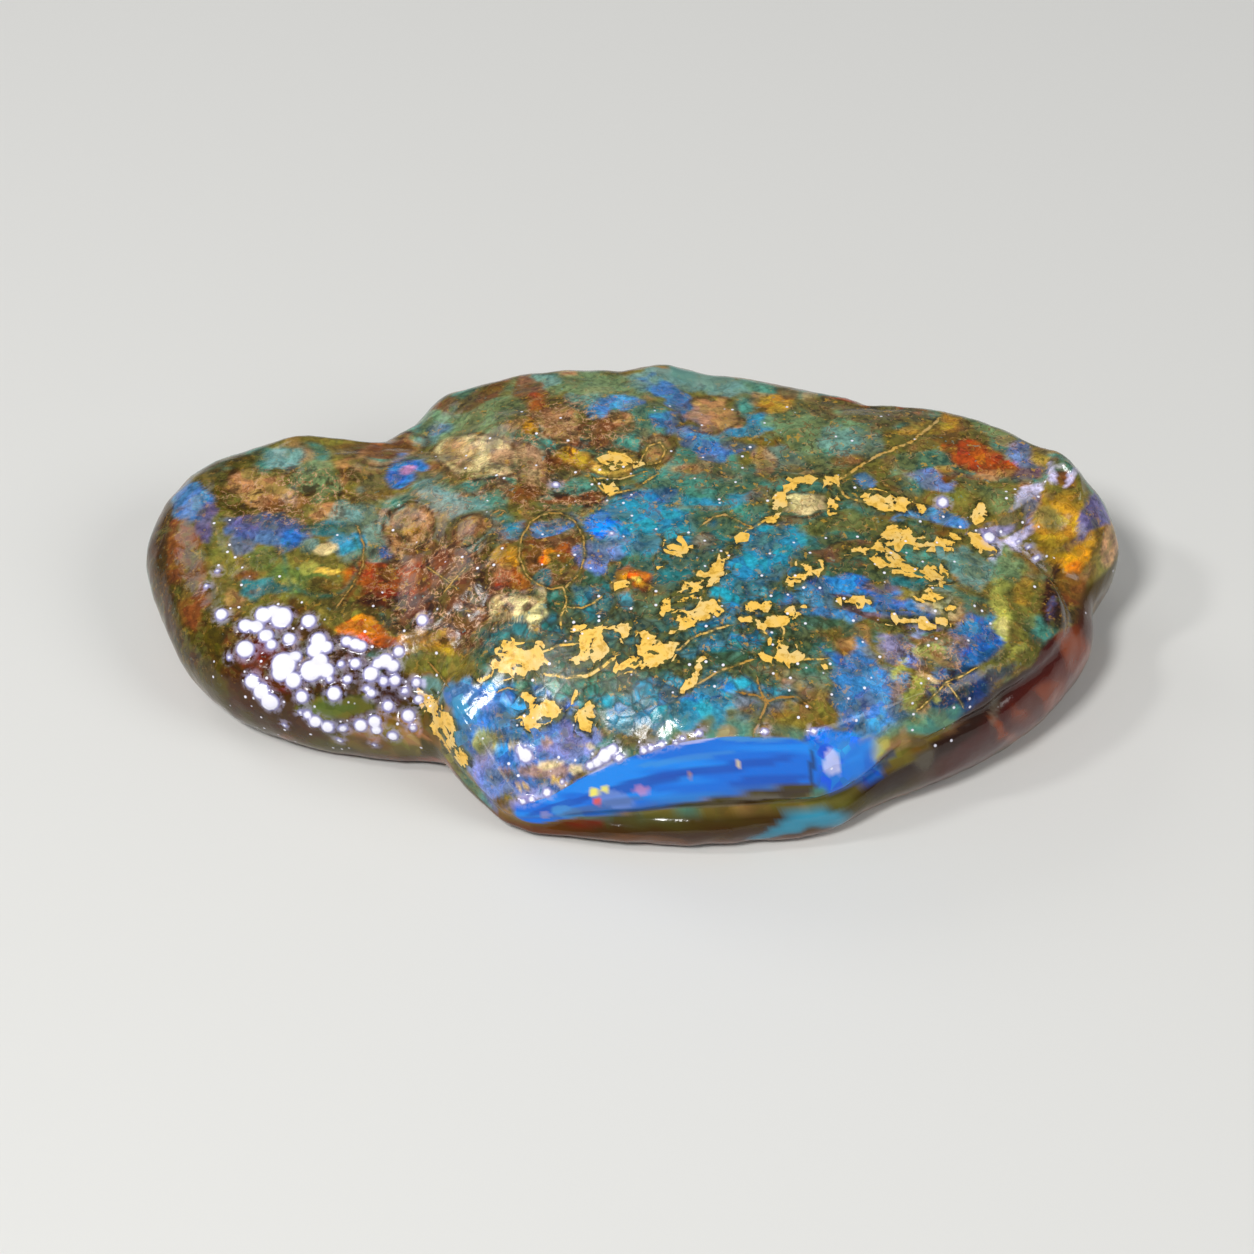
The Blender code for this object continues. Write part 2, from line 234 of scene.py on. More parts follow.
def around(column, angles, rounding):
    # a station value at each angle: straight runs between stations, blurred by a bell this many degrees wide
    rows = np.array(stoneForm["stations"])
    x, y = rows[:, 0] - stoneForm["centre"][0], rows[:, 1] - stoneForm["centre"][1]
    values = np.hypot(x, y) if column == "radius" else rows[:, column]
    fine = np.linspace(-np.pi, np.pi, stoneForm["fineAngles"], endpoint=False)
    run = np.interp(fine, np.arctan2(y, x), values, period=2.0 * np.pi)
    waves = np.fft.rfft(run)
    waves *= np.exp(-0.5 * (np.arange(len(waves)) * np.radians(rounding)) ** 2)
    return np.interp(angles, fine, np.fft.irfft(waves, len(fine)), period=2.0 * np.pi)


def outlineAngles(count):
    # angles that share the outline into like arcs, a little closer beside the beads of the left lobe
    fine = np.linspace(-np.pi, np.pi, stoneForm["fineAngles"] + 1)
    radius = around("radius", fine, stoneForm["outlineRounding"])
    x, y = radius * np.cos(fine), radius * np.sin(fine)
    gain, middle, width = stoneForm["beadCrowding"]
    crowd = 1.0 + gain * bell(np.degrees(fine[1:]) - middle, width)
    run = np.concatenate([[0.0], np.cumsum(crowd * np.hypot(np.diff(x), np.diff(y)))])
    return np.interp(np.arange(count) / count * run[-1], run, fine)


def topHeight(x, y, share, rim):
    # rim + (crown - rim)(1 - share^3), less the step and the terrace, plus a bell for each swell
    crownGain = stoneForm["bodyCrown"] - stoneForm["lobeCrown"]
    crown = stoneForm["lobeCrown"] + crownGain * ramp(x, *stoneForm["crownChange"])
    height = rim + (crown - rim) * (1.0 - share ** stoneForm["crownFlatness"])
    step = stoneForm["notchStep"]
    line = step["x"] + step["slant"] * (y - step["toY"])
    beside = ramp(line - x, 0.0, step["width"]) * ramp(x, *step["fadeX"])
    height -= step["drop"] * beside * ramp(y, step["fromY"], step["toY"])
    terrace = stoneForm["terrace"]
    out = np.hypot(x - terrace["x"], y - terrace["y"])
    past = ramp(out, terrace["radius"], terrace["radius"] + terrace["width"])
    beside = ramp(x, terrace["x"], terrace["x"] + terrace["fadeX"]) * ramp(y, *terrace["fadeY"])
    height -= terrace["drop"] * past * beside
    for swellX, swellY, width, depth, rise in stoneForm["swells"]:
        height += rise * np.exp(-(((x - swellX) / width) ** 2) - ((y - swellY) / depth) ** 2)
    return height


def cutBevel(grid):
    # points in front of a leaning plane go back to it, from the seam up: returns how far each one went
    x, y, z = grid[..., 0], grid[..., 1], grid[..., 2]
    flat = stoneForm["bevelPlane"]
    seam = around(6, angleOf(x, y), stoneForm["heightRounding"])
    plane = flat["y"] + flat["lean"] * (z - flat["atZ"]) + flat["turn"] * np.maximum(x - flat["turnX"], 0.0)
    plane += flat["leftTurn"] * np.maximum(-x, 0.0)
    endX, fadedX = stoneForm["bevelEnd"]
    share = ramp(x, *stoneForm["bevelStart"]) * ramp(x, fadedX, endX)
    moved = np.maximum(plane - y, 0.0) * share * ramp(z, seam, seam + flat["seamFade"])
    grid[..., 1] = y + moved
    return moved


def cutSeam(grid, angle, seamHeight, seamDepth):
    # a bell-shaped groove inwards at the seam's height, on the outer part of each profile
    near = bell(grid[..., 2] - seamHeight, stoneForm["seamWidth"])
    outer = np.hypot(grid[..., 0] - stoneForm["centre"][0], grid[..., 1] - stoneForm["centre"][1])
    inward = seamDepth * near * ramp(outer / outer.max(axis=0), *stoneForm["seamReach"])
    grid[..., 0] -= inward * np.cos(angle)
    grid[..., 1] -= inward * np.sin(angle)


def stoneGrid():
    # rings by profiles: out along each angle over the top, round the shoulder, down the side, and under
    angle = outlineAngles(stoneForm["profiles"])
    radius = around("radius", angle, stoneForm["outlineRounding"])
    shoulder, rim, bulge, foot, seamHeight, seamDepth = (
        around(column, angle, stoneForm["heightRounding"]) for column in range(2, 8)
    )
    inner = radius - shoulder
    centreX, centreY = stoneForm["centre"]

    def place(out):
        # the centre plus this far out along each angle
        return centreX + out * np.cos(angle), centreY + out * np.sin(angle)

    def steps(rings):
        # 1 to this many, as a column
        return np.arange(1, rings + 1)[:, None]

    share = (steps(stoneForm["topRings"]) / stoneForm["topRings"]) ** stoneForm["topCrowding"]
    x, y = place(inner * share)
    top = np.stack([x, y, topHeight(x, y, share, rim)], axis=-1)
    turn = 0.5 * np.pi * steps(stoneForm["shoulderRings"]) / stoneForm["shoulderRings"]
    x, y = place(inner + shoulder * np.sin(turn))
    z = bulge + (topHeight(x, y, 1.0, rim) - bulge) * np.cos(turn)
    rounded = np.stack([x, y, z], axis=-1)
    turn = 0.5 * np.pi * steps(stoneForm["sideRings"]) / stoneForm["sideRings"]
    x, y = place(radius - foot * (1.0 - np.cos(turn)))
    side = np.stack([x, y, bulge * (1.0 - np.sin(turn))], axis=-1)
    share = 1.0 - steps(stoneForm["underRings"] - 1) / stoneForm["underRings"]
    x, y = place((radius - foot) * share)
    under = np.stack([x, y, 0.0 * x], axis=-1)
    grid = np.concatenate([top, rounded, side, under])
    bevelled = cutBevel(grid)
    cutSeam(grid, angle, seamHeight, seamDepth)
    return grid, bevelled


def fitToFrame(grid):
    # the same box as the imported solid, in millimetres: each axis is stretched to it by a few hundredths
    low, high = (np.array(corner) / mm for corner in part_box("amber_stone"))
    flat = grid.reshape(-1, 3)
    gridLow, gridHigh = flat.min(axis=0), flat.max(axis=0)
    return low + (grid - gridLow) * (high - low) / (gridHigh - gridLow), low, high


def surfaceNormals(grid):
    # cross product of the steps along the rings and along the profiles, outwards
    along = np.roll(grid, -1, axis=1) - np.roll(grid, 1, axis=1)
    down = np.gradient(grid, axis=0)
    normal = np.cross(down, along)
    return normal / np.maximum(np.linalg.norm(normal, axis=-1, keepdims=True), tiny)


# Markings, laid on by their places in the picture

palette = {
    "tealGreen": "#3f8a7c", "tealBlue": "#2c8cae", "tealDeep": "#1d6f78", "darkTeal": "#2c5846",
    "greyTeal": "#66908a", "brightTeal": "#3592b0", "greyGreen": "#68845a", "moss": "#746a2c",
    "oliveDark": "#453a02", "oliveGreen": "#6b6a2c", "oliveBrown": "#6a4c18", "darkOlive": "#26280c",
    "filmOlive": "#5c5a22", "azure": "#046ad6", "royalBlue": "#0c46ac", "brightBlue": "#1288ec",
    "clearBlue": "#4492d2", "blue": "#2c70b8", "indigo": "#466090", "navy": "#17365e", "dimBlue": "#3f78a8",
    "periwinkle": "#6a88cc", "violet": "#5e5a8c", "lilac": "#8f8cc2", "paleLilac": "#cfcbf0",
    "gold": "#f8c658", "cream": "#e8d094", "ochre": "#c4952e", "amber": "#dc9a20", "orange": "#f0801c",
    "rust": "#a84a10", "redBrown": "#6c1e04", "darkRed": "#4a1006", "brown": "#74441c",
    "darkBrown": "#2c160a", "umber": "#402004", "tan": "#b48452", "threadTan": "#cfa07a",
    "mauve": "#6a3e20", "pinkTan": "#b0865c", "yellowGreen": "#b4b452", "leafGreen": "#566c30",
    "white": "#f4f2ff", "pink": "#d08cb4", "sparkYellow": "#f0e46a", "sparkRed": "#e4543a",
    "stoneGrey": "#77705e",
}

# spots in the order they are laid on: colour, x and y of the middle, half width and half height in
# pixels, tilt in degrees, strength
zones = {
    "ground": [
        ("darkTeal", 640, 640, 170, 70, 0, 0.9), ("darkTeal", 760, 560, 150, 90, 0, 0.8),
        ("tealGreen", 700, 520, 130, 50, 0, 0.6), ("tealDeep", 690, 590, 120, 50, 20, 0.7),
        ("tealDeep", 520, 634, 50, 22, 0, 0.8), ("oliveGreen", 640, 600, 60, 12, 0, 0.6),
    ],
    "left lobe": [
        ("oliveDark", 230, 620, 130, 170, 0, 1.0), ("umber", 156, 600, 22, 130, 0, 0.7),
        ("moss", 300, 560, 90, 90, 0, 0.9), ("greyTeal", 376, 545, 26, 46, 20, 0.7),
        ("dimBlue", 190, 499, 20, 17, 15, 0.95), ("violet", 206, 524, 9, 17, 0, 0.7),
        ("brown", 183, 546, 16, 32, 4, 0.95), ("brown", 197, 596, 14, 30, -8, 0.9),
        ("oliveGreen", 218, 545, 9, 30, 0, 0.8), ("tan", 264, 488, 34, 17, -12, 0.8),
        ("moss", 268, 474, 30, 7, -14, 0.55), ("brown", 286, 506, 26, 10, 8, 0.75),
        ("tan", 296, 503, 12, 5, 12, 0.8), ("greyGreen", 318, 480, 24, 20, -30, 0.75),
        ("tan", 332, 509, 20, 6, 0, 0.7), ("greyTeal", 284, 457, 21, 13, 0, 0.95),
        ("darkBrown", 293, 469, 9, 5, 0, 0.75), ("brown", 392, 449, 34, 13, 14, 0.85),
        ("tan", 362, 470, 24, 9, -10, 0.6), ("darkBrown", 348, 476, 10, 6, -30, 0.6),
        ("blue", 407, 471, 21, 11, 28, 0.95), ("pink", 410, 471, 7, 3, 30, 0.8),
        ("greyTeal", 437, 492, 26, 9, 0, 0.8), ("indigo", 272, 530, 42, 15, -4, 0.95),
        ("blue", 294, 539, 15, 13, 0, 0.95), ("violet", 246, 523, 13, 10, 0, 0.7),
        ("indigo", 240, 546, 14, 14, 0, 0.6), ("tealDeep", 333, 528, 18, 10, 0, 0.9),
        ("tealBlue", 346, 543, 19, 12, 0, 0.9), ("leafGreen", 298, 577, 32, 18, 8, 0.9),
        ("moss", 305, 557, 15, 9, 0, 0.75), ("tealDeep", 268, 592, 30, 12, 0, 0.9),
        ("oliveBrown", 322, 585, 15, 9, -20, 0.7), ("moss", 226, 578, 13, 10, 0, 0.6),
        ("tan", 232, 602, 8, 18, 10, 0.6), ("brown", 246, 576, 12, 5, 15, 0.7),
        ("cream", 328, 551, 10, 6, 5, 0.9), ("gold", 324, 569, 15, 4, 0, 0.75),
        ("blue", 386, 552, 8, 6, 0, 0.8), ("brown", 350, 583, 7, 30, -32, 0.85),
        ("tan", 352, 580, 2.5, 26, -32, 0.7), ("umber", 300, 676, 92, 62, -18, 0.9),
        ("redBrown", 262, 658, 40, 20, -40, 0.6), ("darkBrown", 392, 694, 34, 26, -30, 0.75),
        ("leafGreen", 262, 560, 16, 12, 20, 0.7), ("yellowGreen", 306, 566, 9, 7, 0, 0.6),
        ("yellowGreen", 290, 582, 7, 5, 0, 0.5), ("greyTeal", 312, 545, 9, 7, 0, 0.7),
        ("greyTeal", 350, 512, 16, 12, 0, 0.7), ("darkOlive", 330, 600, 20, 9, -20, 0.6),
        ("oliveGreen", 339, 709, 32, 12, -8, 0.95), ("leafGreen", 330, 708, 18, 7, -8, 0.6),
        ("oliveBrown", 402, 728, 34, 8, -28, 0.7), ("tan", 410, 732, 24, 3, -28, 0.5),
    ],
    "brown zone": [
        ("mauve", 440, 590, 66, 50, -10, 0.95), ("brown", 470, 572, 50, 26, 0, 0.7),
        ("rust", 385, 586, 36, 22, 10, 0.9), ("redBrown", 380, 594, 30, 14, 12, 0.7),
        ("darkBrown", 366, 600, 22, 5, 8, 0.9), ("orange", 357, 627, 22, 9, -6, 0.95),
        ("rust", 376, 634, 26, 9, -4, 0.8), ("ochre", 420, 643, 30, 14, -4, 0.95),
        ("amber", 404, 640, 9, 9, 0, 0.9), ("oliveGreen", 430, 662, 16, 12, 0, 0.7),
        ("redBrown", 458, 640, 16, 10, 0, 0.6), ("cream", 421, 619, 7, 7, 0, 0.95),
        ("tan", 412, 528, 30, 26, 0, 0.95), ("brown", 399, 518, 12, 12, 50, 0.7),
        ("darkBrown", 401, 538, 11, 5, -20, 0.75), ("amber", 414, 524, 15, 12, 0, 0.55),
        ("tan", 440, 514, 9, 16, 0, 0.6), ("mauve", 468, 531, 18, 12, 38, 0.95),
        ("pinkTan", 470, 528, 10, 5, 38, 0.6), ("mauve", 484, 548, 6, 14, -35, 0.85),
        ("tealGreen", 474, 545, 9, 7, 0, 0.8), ("greyTeal", 452, 506, 30, 10, 0, 0.7),
        ("tealBlue", 511, 531, 20, 11, 0, 0.85), ("brown", 552, 551, 36, 40, 0, 0.8),
        ("clearBlue", 553, 525, 21, 8, 15, 0.85), ("orange", 552, 556, 10, 8, 0, 0.65),
        ("oliveGreen", 563, 563, 14, 12, 0, 0.8), ("tealDeep", 541, 577, 13, 9, 0, 0.9),
        ("darkBrown", 540, 560, 8, 8, 0, 0.6), ("rust", 566, 553, 7, 10, 0, 0.5),
        ("amber", 507, 556, 11, 12, 0, 0.9), ("rust", 513, 578, 17, 13, 0, 0.75),
        ("pinkTan", 505, 572, 9, 9, 0, 0.5), ("cream", 519, 608, 26, 12, -14, 0.95),
        ("cream", 536, 622, 9, 14, 10, 0.8), ("darkBrown", 509, 606, 5, 4, 0, 0.85),
        ("darkBrown", 527, 607, 5, 5, 0, 0.85), ("cream", 541, 592, 4, 10, 0, 0.7),
        ("oliveBrown", 470, 618, 40, 9, 0, 0.7), ("darkBrown", 452, 612, 30, 6, 6, 0.7),
        ("darkBrown", 480, 592, 10, 22, 30, 0.5), ("brown", 440, 606, 24, 6, 0, 0.6),
        ("darkBrown", 402, 622, 44, 5, -6, 0.8), ("orange", 358, 625, 16, 7, -6, 0.9),
        ("amber", 424, 640, 22, 8, -4, 0.7), ("darkBrown", 372, 644, 40, 5, -4, 0.6),
        ("darkBrown", 384, 606, 46, 7, 8, 0.7), ("threadTan", 414, 522, 13, 9, 20, 0.7),
        ("mauve", 500, 536, 8, 16, 30, 0.6), ("orange", 546, 560, 6, 4, 0, 0.8),
    ],
    "back left": [
        ("greyGreen", 470, 418, 62, 22, 18, 0.8), ("brown", 476, 394, 40, 8, 20, 0.8),
        ("greyTeal", 434, 432, 22, 9, 20, 0.8), ("indigo", 440, 428, 12, 6, 20, 0.5),
        ("greyGreen", 575, 384, 66, 13, -2, 0.8), ("greyTeal", 540, 381, 22, 10, 0, 0.7),
        ("cream", 478, 456, 36, 20, -8, 0.95), ("tan", 462, 450, 14, 16, 20, 0.7),
        ("oliveBrown", 447, 466, 13, 10, 0, 0.7), ("pinkTan", 505, 452, 14, 14, 0, 0.7),
        ("cream", 498, 444, 6, 6, 0, 0.7), ("pinkTan", 530, 463, 17, 22, 0, 0.85),
        ("brown", 510, 489, 42, 9, 4, 0.75), ("oliveGreen", 450, 484, 18, 7, 0, 0.5),
        ("brown", 531, 394, 14, 22, 25, 0.85), ("rust", 537, 408, 9, 18, 20, 0.7),
        ("amber", 532, 428, 9, 8, 30, 0.9), ("tan", 564, 421, 24, 16, 0, 0.9),
        ("pinkTan", 572, 425, 13, 7, 0, 0.6), ("brown", 600, 424, 20, 11, 0, 0.8),
        ("redBrown", 590, 438, 26, 6, 0, 0.6), ("clearBlue", 614, 403, 24, 10, 8, 0.85),
        ("greyTeal", 580, 399, 20, 8, 0, 0.6), ("tan", 622, 420, 12, 7, 0, 0.6),
        ("ochre", 572, 455, 22, 10, 0, 0.85), ("amber", 569, 450, 8, 5, 0, 0.8),
        ("brown", 560, 467, 22, 5, -8, 0.5), ("gold", 614, 461, 24, 9, 4, 0.9),
        ("tan", 655, 450, 16, 12, 20, 0.7), ("oliveGreen", 612, 476, 34, 5, 0, 0.7),
        ("brown", 586, 500, 44, 7, 5, 0.95), ("darkBrown", 600, 504, 22, 3, 4, 0.7),
        ("tealGreen", 575, 483, 24, 8, 0, 0.7), ("oliveGreen", 556, 512, 30, 6, 0, 0.5),
    ],
    "back right": [
        ("greyTeal", 680, 380, 60, 12, -6, 0.8), ("oliveGreen", 660, 396, 26, 10, 0, 0.7),
        ("dimBlue", 677, 405, 40, 11, -42, 0.95), ("blue", 672, 420, 16, 7, 20, 0.6),
        ("blue", 714, 448, 40, 9, -4, 0.85), ("clearBlue", 700, 436, 34, 10, 0, 0.6),
        ("tan", 708, 414, 28, 16, 6, 0.85), ("oliveGreen", 736, 440, 20, 12, 0, 0.5),
        ("tealBlue", 756, 424, 30, 12, 8, 0.85), ("greyGreen", 820, 424, 56, 22, -4, 0.9),
        ("greyTeal", 852, 440, 30, 13, -10, 0.7), ("greyTeal", 792, 458, 22, 10, 0, 0.6),
        ("ochre", 781, 400, 22, 11, -4, 0.85), ("tan", 764, 460, 12, 11, 0, 0.6),
        ("oliveBrown", 868, 408, 62, 11, -5, 0.75), ("rust", 880, 402, 46, 4, -6, 0.6),
        ("ochre", 930, 424, 30, 12, 20, 0.8), ("oliveBrown", 950, 434, 18, 9, 30, 0.7),
        ("greyGreen", 990, 424, 34, 11, -12, 0.85), ("oliveGreen", 895, 470, 28, 12, 20, 0.6),
        ("clearBlue", 862, 481, 9, 8, 0, 0.8), ("tan", 688, 468, 12, 7, 0, 0.6),
        ("oliveBrown", 706, 468, 24, 9, 0, 0.5), ("rust", 974, 454, 26, 13, -8, 0.95),
        ("rust", 1014, 472, 32, 9, -6, 0.9), ("redBrown", 960, 478, 34, 6, 0, 0.6),
        ("tan", 996, 476, 18, 5, -4, 0.7), ("amber", 942, 470, 10, 5, 0, 0.6),
        ("periwinkle", 1018, 454, 15, 12, -30, 0.8), ("pinkTan", 1006, 440, 12, 6, -30, 0.5),
        ("violet", 1030, 474, 16, 9, 20, 0.6), ("ochre", 1038, 458, 12, 7, -30, 0.8),
        ("periwinkle", 936, 486, 26, 9, -22, 0.8), ("oliveBrown", 892, 484, 20, 10, 0, 0.6),
        ("oliveGreen", 960, 500, 18, 10, 0, 0.6), ("greyGreen", 1000, 502, 22, 12, 0, 0.6),
    ],
    "middle": [
        ("brightBlue", 604, 522, 24, 11, -4, 1.0), ("periwinkle", 593, 556, 17, 18, 0, 0.9),
        ("periwinkle", 612, 548, 17, 14, 0, 0.6), ("tealBlue", 650, 524, 46, 26, 0, 0.85),
        ("tealBlue", 640, 500, 40, 12, 10, 0.6), ("blue", 656, 497, 26, 7, 10, 0.7),
        ("orange", 634, 579, 8, 4, 0, 1.0), ("tan", 621, 585, 9, 7, 0, 0.8),
        ("oliveBrown", 646, 588, 16, 8, 0, 0.5), ("stoneGrey", 701, 543, 10, 8, 10, 0.9),
        ("tealBlue", 735, 590, 60, 26, 38, 0.8), ("tealBlue", 770, 545, 46, 18, 10, 0.75),
        ("tealBlue", 716, 500, 40, 9, 0, 0.7), ("oliveGreen", 700, 505, 30, 5, 4, 0.6),
        ("oliveBrown", 758, 497, 16, 12, 0, 0.7), ("oliveBrown", 780, 524, 30, 5, 10, 0.7),
        ("cream", 803, 505, 26, 9, 4, 0.9), ("tealGreen", 804, 489, 18, 7, 0, 0.8),
        ("oliveGreen", 850, 525, 50, 10, 6, 0.7), ("clearBlue", 930, 520, 44, 8, -2, 0.85),
        ("oliveBrown", 900, 506, 40, 10, -6, 0.5), ("brown", 846, 552, 34, 6, 2, 0.7),
        ("tealGreen", 920, 560, 34, 14, -10, 0.6), ("tealBlue", 716, 640, 60, 8, 12, 0.85),
        ("tealDeep", 720, 645, 30, 5, 14, 0.7), ("tealGreen", 560, 690, 60, 20, 0, 0.6),
        ("tealBlue", 690, 700, 110, 24, 4, 0.8), ("blue", 708, 692, 26, 9, 0, 0.6),
        ("tealBlue", 600, 600, 26, 12, 0, 0.6), ("brown", 768, 702, 30, 12, -10, 0.5),
        ("rust", 632, 578, 17, 10, 0, 0.8), ("orange", 634, 578, 12, 7, 0, 1.0),
        ("sparkYellow", 636, 579, 5, 3, 0, 0.7),
    ],
    "front left": [
        ("blue", 530, 740, 60, 50, 0, 0.8), ("clearBlue", 500, 720, 46, 26, -20, 0.8),
        ("dimBlue", 478, 700, 34, 16, -30, 0.95), ("lilac", 492, 706, 11, 6, -20, 0.7),
        ("paleLilac", 506, 699, 7, 4, 0, 0.6), ("dimBlue", 466, 722, 10, 26, -24, 0.9),
        ("blue", 497, 694, 16, 8, 0, 0.8), ("clearBlue", 520, 712, 26, 8, -10, 0.6),
        ("yellowGreen", 483, 742, 12, 14, 0, 0.75), ("indigo", 502, 718, 12, 8, 0, 0.6),
        ("lilac", 568, 742, 26, 18, 16, 0.6), ("clearBlue", 548, 732, 16, 12, 20, 0.6),
        ("periwinkle", 494, 776, 22, 22, -30, 0.85), ("lilac", 480, 762, 14, 16, -30, 0.6),
        ("blue", 540, 768, 30, 16, 20, 0.5), ("tan", 536, 770, 28, 9, 4, 0.7),
        ("cream", 552, 764, 12, 5, 10, 0.6), ("blue", 508, 752, 14, 14, 0, 0.6),
        ("lilac", 525, 800, 20, 10, 20, 0.7), ("greyTeal", 430, 690, 20, 12, -40, 0.9),
        ("paleLilac", 418, 684, 8, 8, 0, 0.8), ("cream", 514, 744, 6, 4, 20, 0.8),
        ("gold", 530, 754, 7, 3, 10, 0.8), ("tan", 549, 742, 6, 4, 0, 0.7),
        ("gold", 560, 780, 9, 4, -10, 0.8), ("cream", 577, 768, 6, 4, 0, 0.8),
        ("tan", 506, 772, 6, 5, 30, 0.7), ("cream", 590, 746, 5, 3, 0, 0.6),
        ("gold", 522, 786, 7, 3, -20, 0.7), ("moss", 498, 736, 9, 7, 0, 0.6),
        ("tan", 604, 732, 6, 4, 0, 0.6), ("tealBlue", 624, 722, 18, 10, 0, 0.6),
    ],
    "right front": [
        ("blue", 850, 590, 52, 18, -8, 0.95), ("blue", 900, 608, 34, 11, -8, 0.85),
        ("clearBlue", 830, 604, 44, 16, -12, 0.6), ("oliveBrown", 880, 584, 20, 7, -12, 0.7),
        ("tealDeep", 915, 582, 34, 8, -10, 0.8), ("mauve", 862, 614, 40, 6, -22, 0.8),
        ("darkBrown", 846, 608, 26, 3, -26, 0.5), ("lilac", 905, 622, 30, 6, -10, 0.6),
        ("cream", 938, 604, 22, 12, -20, 0.4), ("blue", 976, 640, 32, 27, 0, 1.0),
        ("navy", 952, 690, 34, 26, 20, 1.0), ("blue", 859, 690, 26, 44, 10, 0.85),
        ("clearBlue", 882, 700, 22, 30, 10, 0.6), ("lilac", 898, 648, 22, 13, -10, 0.65),
        ("azure", 838, 760, 36, 30, 0, 1.0), ("brightBlue", 850, 742, 22, 14, 0, 0.9),
        # the pale lilac spot at the bevel's crease is a painted highlight
        ("paleLilac", 832, 760, 8, 12, 0, 0.7), ("clearBlue", 848, 750, 9, 12, 0, 0.6),
        ("periwinkle", 909, 659, 14, 8, -10, 0.9), ("stoneGrey", 935, 655, 20, 18, -20, 0.7),
        ("yellowGreen", 914, 690, 8, 24, -24, 0.85), ("yellowGreen", 928, 648, 20, 6, -10, 0.6),
        ("greyGreen", 890, 724, 26, 9, 20, 0.6), ("yellowGreen", 874, 744, 15, 14, 30, 0.8),
        ("navy", 884, 756, 14, 6, 30, 0.7), ("greyTeal", 964, 568, 34, 16, -16, 0.85),
        ("greyGreen", 1006, 570, 22, 22, -30, 0.8), ("yellowGreen", 1004, 612, 12, 34, 8, 0.9),
        ("sparkYellow", 1004, 618, 4, 12, 8, 0.6), ("oliveGreen", 1026, 606, 14, 40, 0, 0.8),
        ("ochre", 1024, 588, 8, 14, 0, 0.5), ("darkOlive", 1034, 640, 8, 22, 24, 0.6),
        ("oliveGreen", 1014, 656, 26, 18, 40, 0.9), ("yellowGreen", 1020, 650, 12, 5, 40, 0.6),
        ("navy", 1000, 676, 22, 8, 32, 0.6), ("oliveBrown", 926, 668, 22, 9, -24, 0.7),
        ("tan", 938, 654, 16, 4, -24, 0.7), ("cream", 926, 676, 12, 3, -34, 0.7),
        ("yellowGreen", 898, 668, 4, 14, -30, 0.8), ("yellowGreen", 934, 694, 4, 13, 24, 0.7),
        ("tan", 896, 694, 5, 12, -10, 0.6), ("greyGreen", 940, 716, 18, 7, -30, 0.6),
        ("tan", 958, 640, 10, 4, -40, 0.6), ("moss", 870, 652, 12, 7, 0, 0.6),
        ("blue", 940, 672, 9, 7, 0, 0.7), ("clearBlue", 966, 628, 12, 8, 0, 0.6),
        ("navy", 986, 656, 9, 7, 20, 0.6), ("brown", 912, 632, 26, 4, -18, 0.6),
        ("cream", 1004, 626, 5, 9, 10, 0.5), ("moss", 1016, 632, 9, 9, 0, 0.6),
        # the pale lilac and lilac rows along the ridge by the right tip are a painted highlight
        ("paleLilac", 1012, 546, 32, 8, 28, 0.75), ("lilac", 984, 534, 24, 8, 10, 0.6),
        ("paleLilac", 1026, 496, 24, 8, 34, 0.75), ("lilac", 1044, 516, 22, 22, 0, 0.6),
    ],
    "right tip": [
        ("ochre", 1068, 532, 34, 34, 0, 1.0), ("amber", 1074, 560, 18, 16, 0, 0.95),
        ("orange", 1076, 568, 9, 6, 0, 0.7), ("greyGreen", 1050, 520, 16, 12, 0, 0.5),
        ("violet", 1094, 514, 12, 26, -24, 0.95), ("pinkTan", 1110, 540, 8, 26, -6, 0.9),
        ("brown", 1068, 481, 13, 10, -30, 0.9), ("stoneGrey", 1068, 548, 12, 5, 20, 0.5),
        ("darkBrown", 1054, 596, 14, 34, -6, 0.95), ("brown", 1078, 590, 18, 16, 0, 0.9),
        ("oliveBrown", 1070, 580, 18, 7, 0, 0.6), ("violet", 1052, 610, 5, 14, 0, 0.6),
        # the pale lilac and white rows on the crest at the back right are a painted highlight
        ("darkBrown", 1072, 616, 22, 10, 0, 0.8), ("paleLilac", 1053, 474, 4, 13, 18, 0.9),
        ("white", 1060, 465, 7, 3, 20, 0.8), ("paleLilac", 1072, 478, 4, 13, -30, 0.9),
    ],
    "flank": [
        ("darkRed", 1020, 700, 130, 100, 36, 1.0), ("rust", 1080, 654, 13, 30, 20, 0.7),
        ("redBrown", 1060, 690, 60, 22, 40, 0.6), ("rust", 1040, 700, 30, 12, 34, 0.5),
        ("darkRed", 1030, 700, 8, 44, 50, 0.8), ("darkRed", 980, 740, 7, 40, 50, 0.8),
        ("rust", 1000, 730, 5, 34, 50, 0.6), ("darkBrown", 936, 744, 66, 15, 36, 0.95),
        ("darkBrown", 990, 702, 34, 12, 36, 0.9), ("stoneGrey", 994, 714, 5, 18, -24, 0.5),
        ("stoneGrey", 924, 756, 10, 14, -30, 0.5), ("darkRed", 985, 762, 60, 14, 24, 0.8),
        # the dark brown strip at 1018, 678 is painted shadow under the rim
        ("tan", 925, 733, 34, 5, 24, 0.55), ("darkBrown", 1018, 678, 22, 7, 32, 0.8),
        ("darkBrown", 880, 782, 26, 14, 20, 0.85),
    ],
    "shelf": [
        ("umber", 690, 822, 130, 18, 0, 1.0), ("oliveDark", 690, 822, 90, 9, 0, 0.7),
        ("leafGreen", 640, 820, 40, 8, 0, 0.25), ("redBrown", 606, 812, 48, 9, 14, 0.9),
        # the dark brown lines along the groove under the bevel are painted shade
        ("darkRed", 640, 806, 40, 5, 8, 0.8), ("darkBrown", 740, 802, 76, 5, 8, 0.9),
        ("stoneGrey", 700, 804, 46, 4, 6, 0.5), ("stoneGrey", 792, 793, 60, 4, 6, 0.6),
        ("darkBrown", 812, 788, 44, 4, 4, 0.8), ("oliveGreen", 826, 803, 30, 8, 10, 0.8),
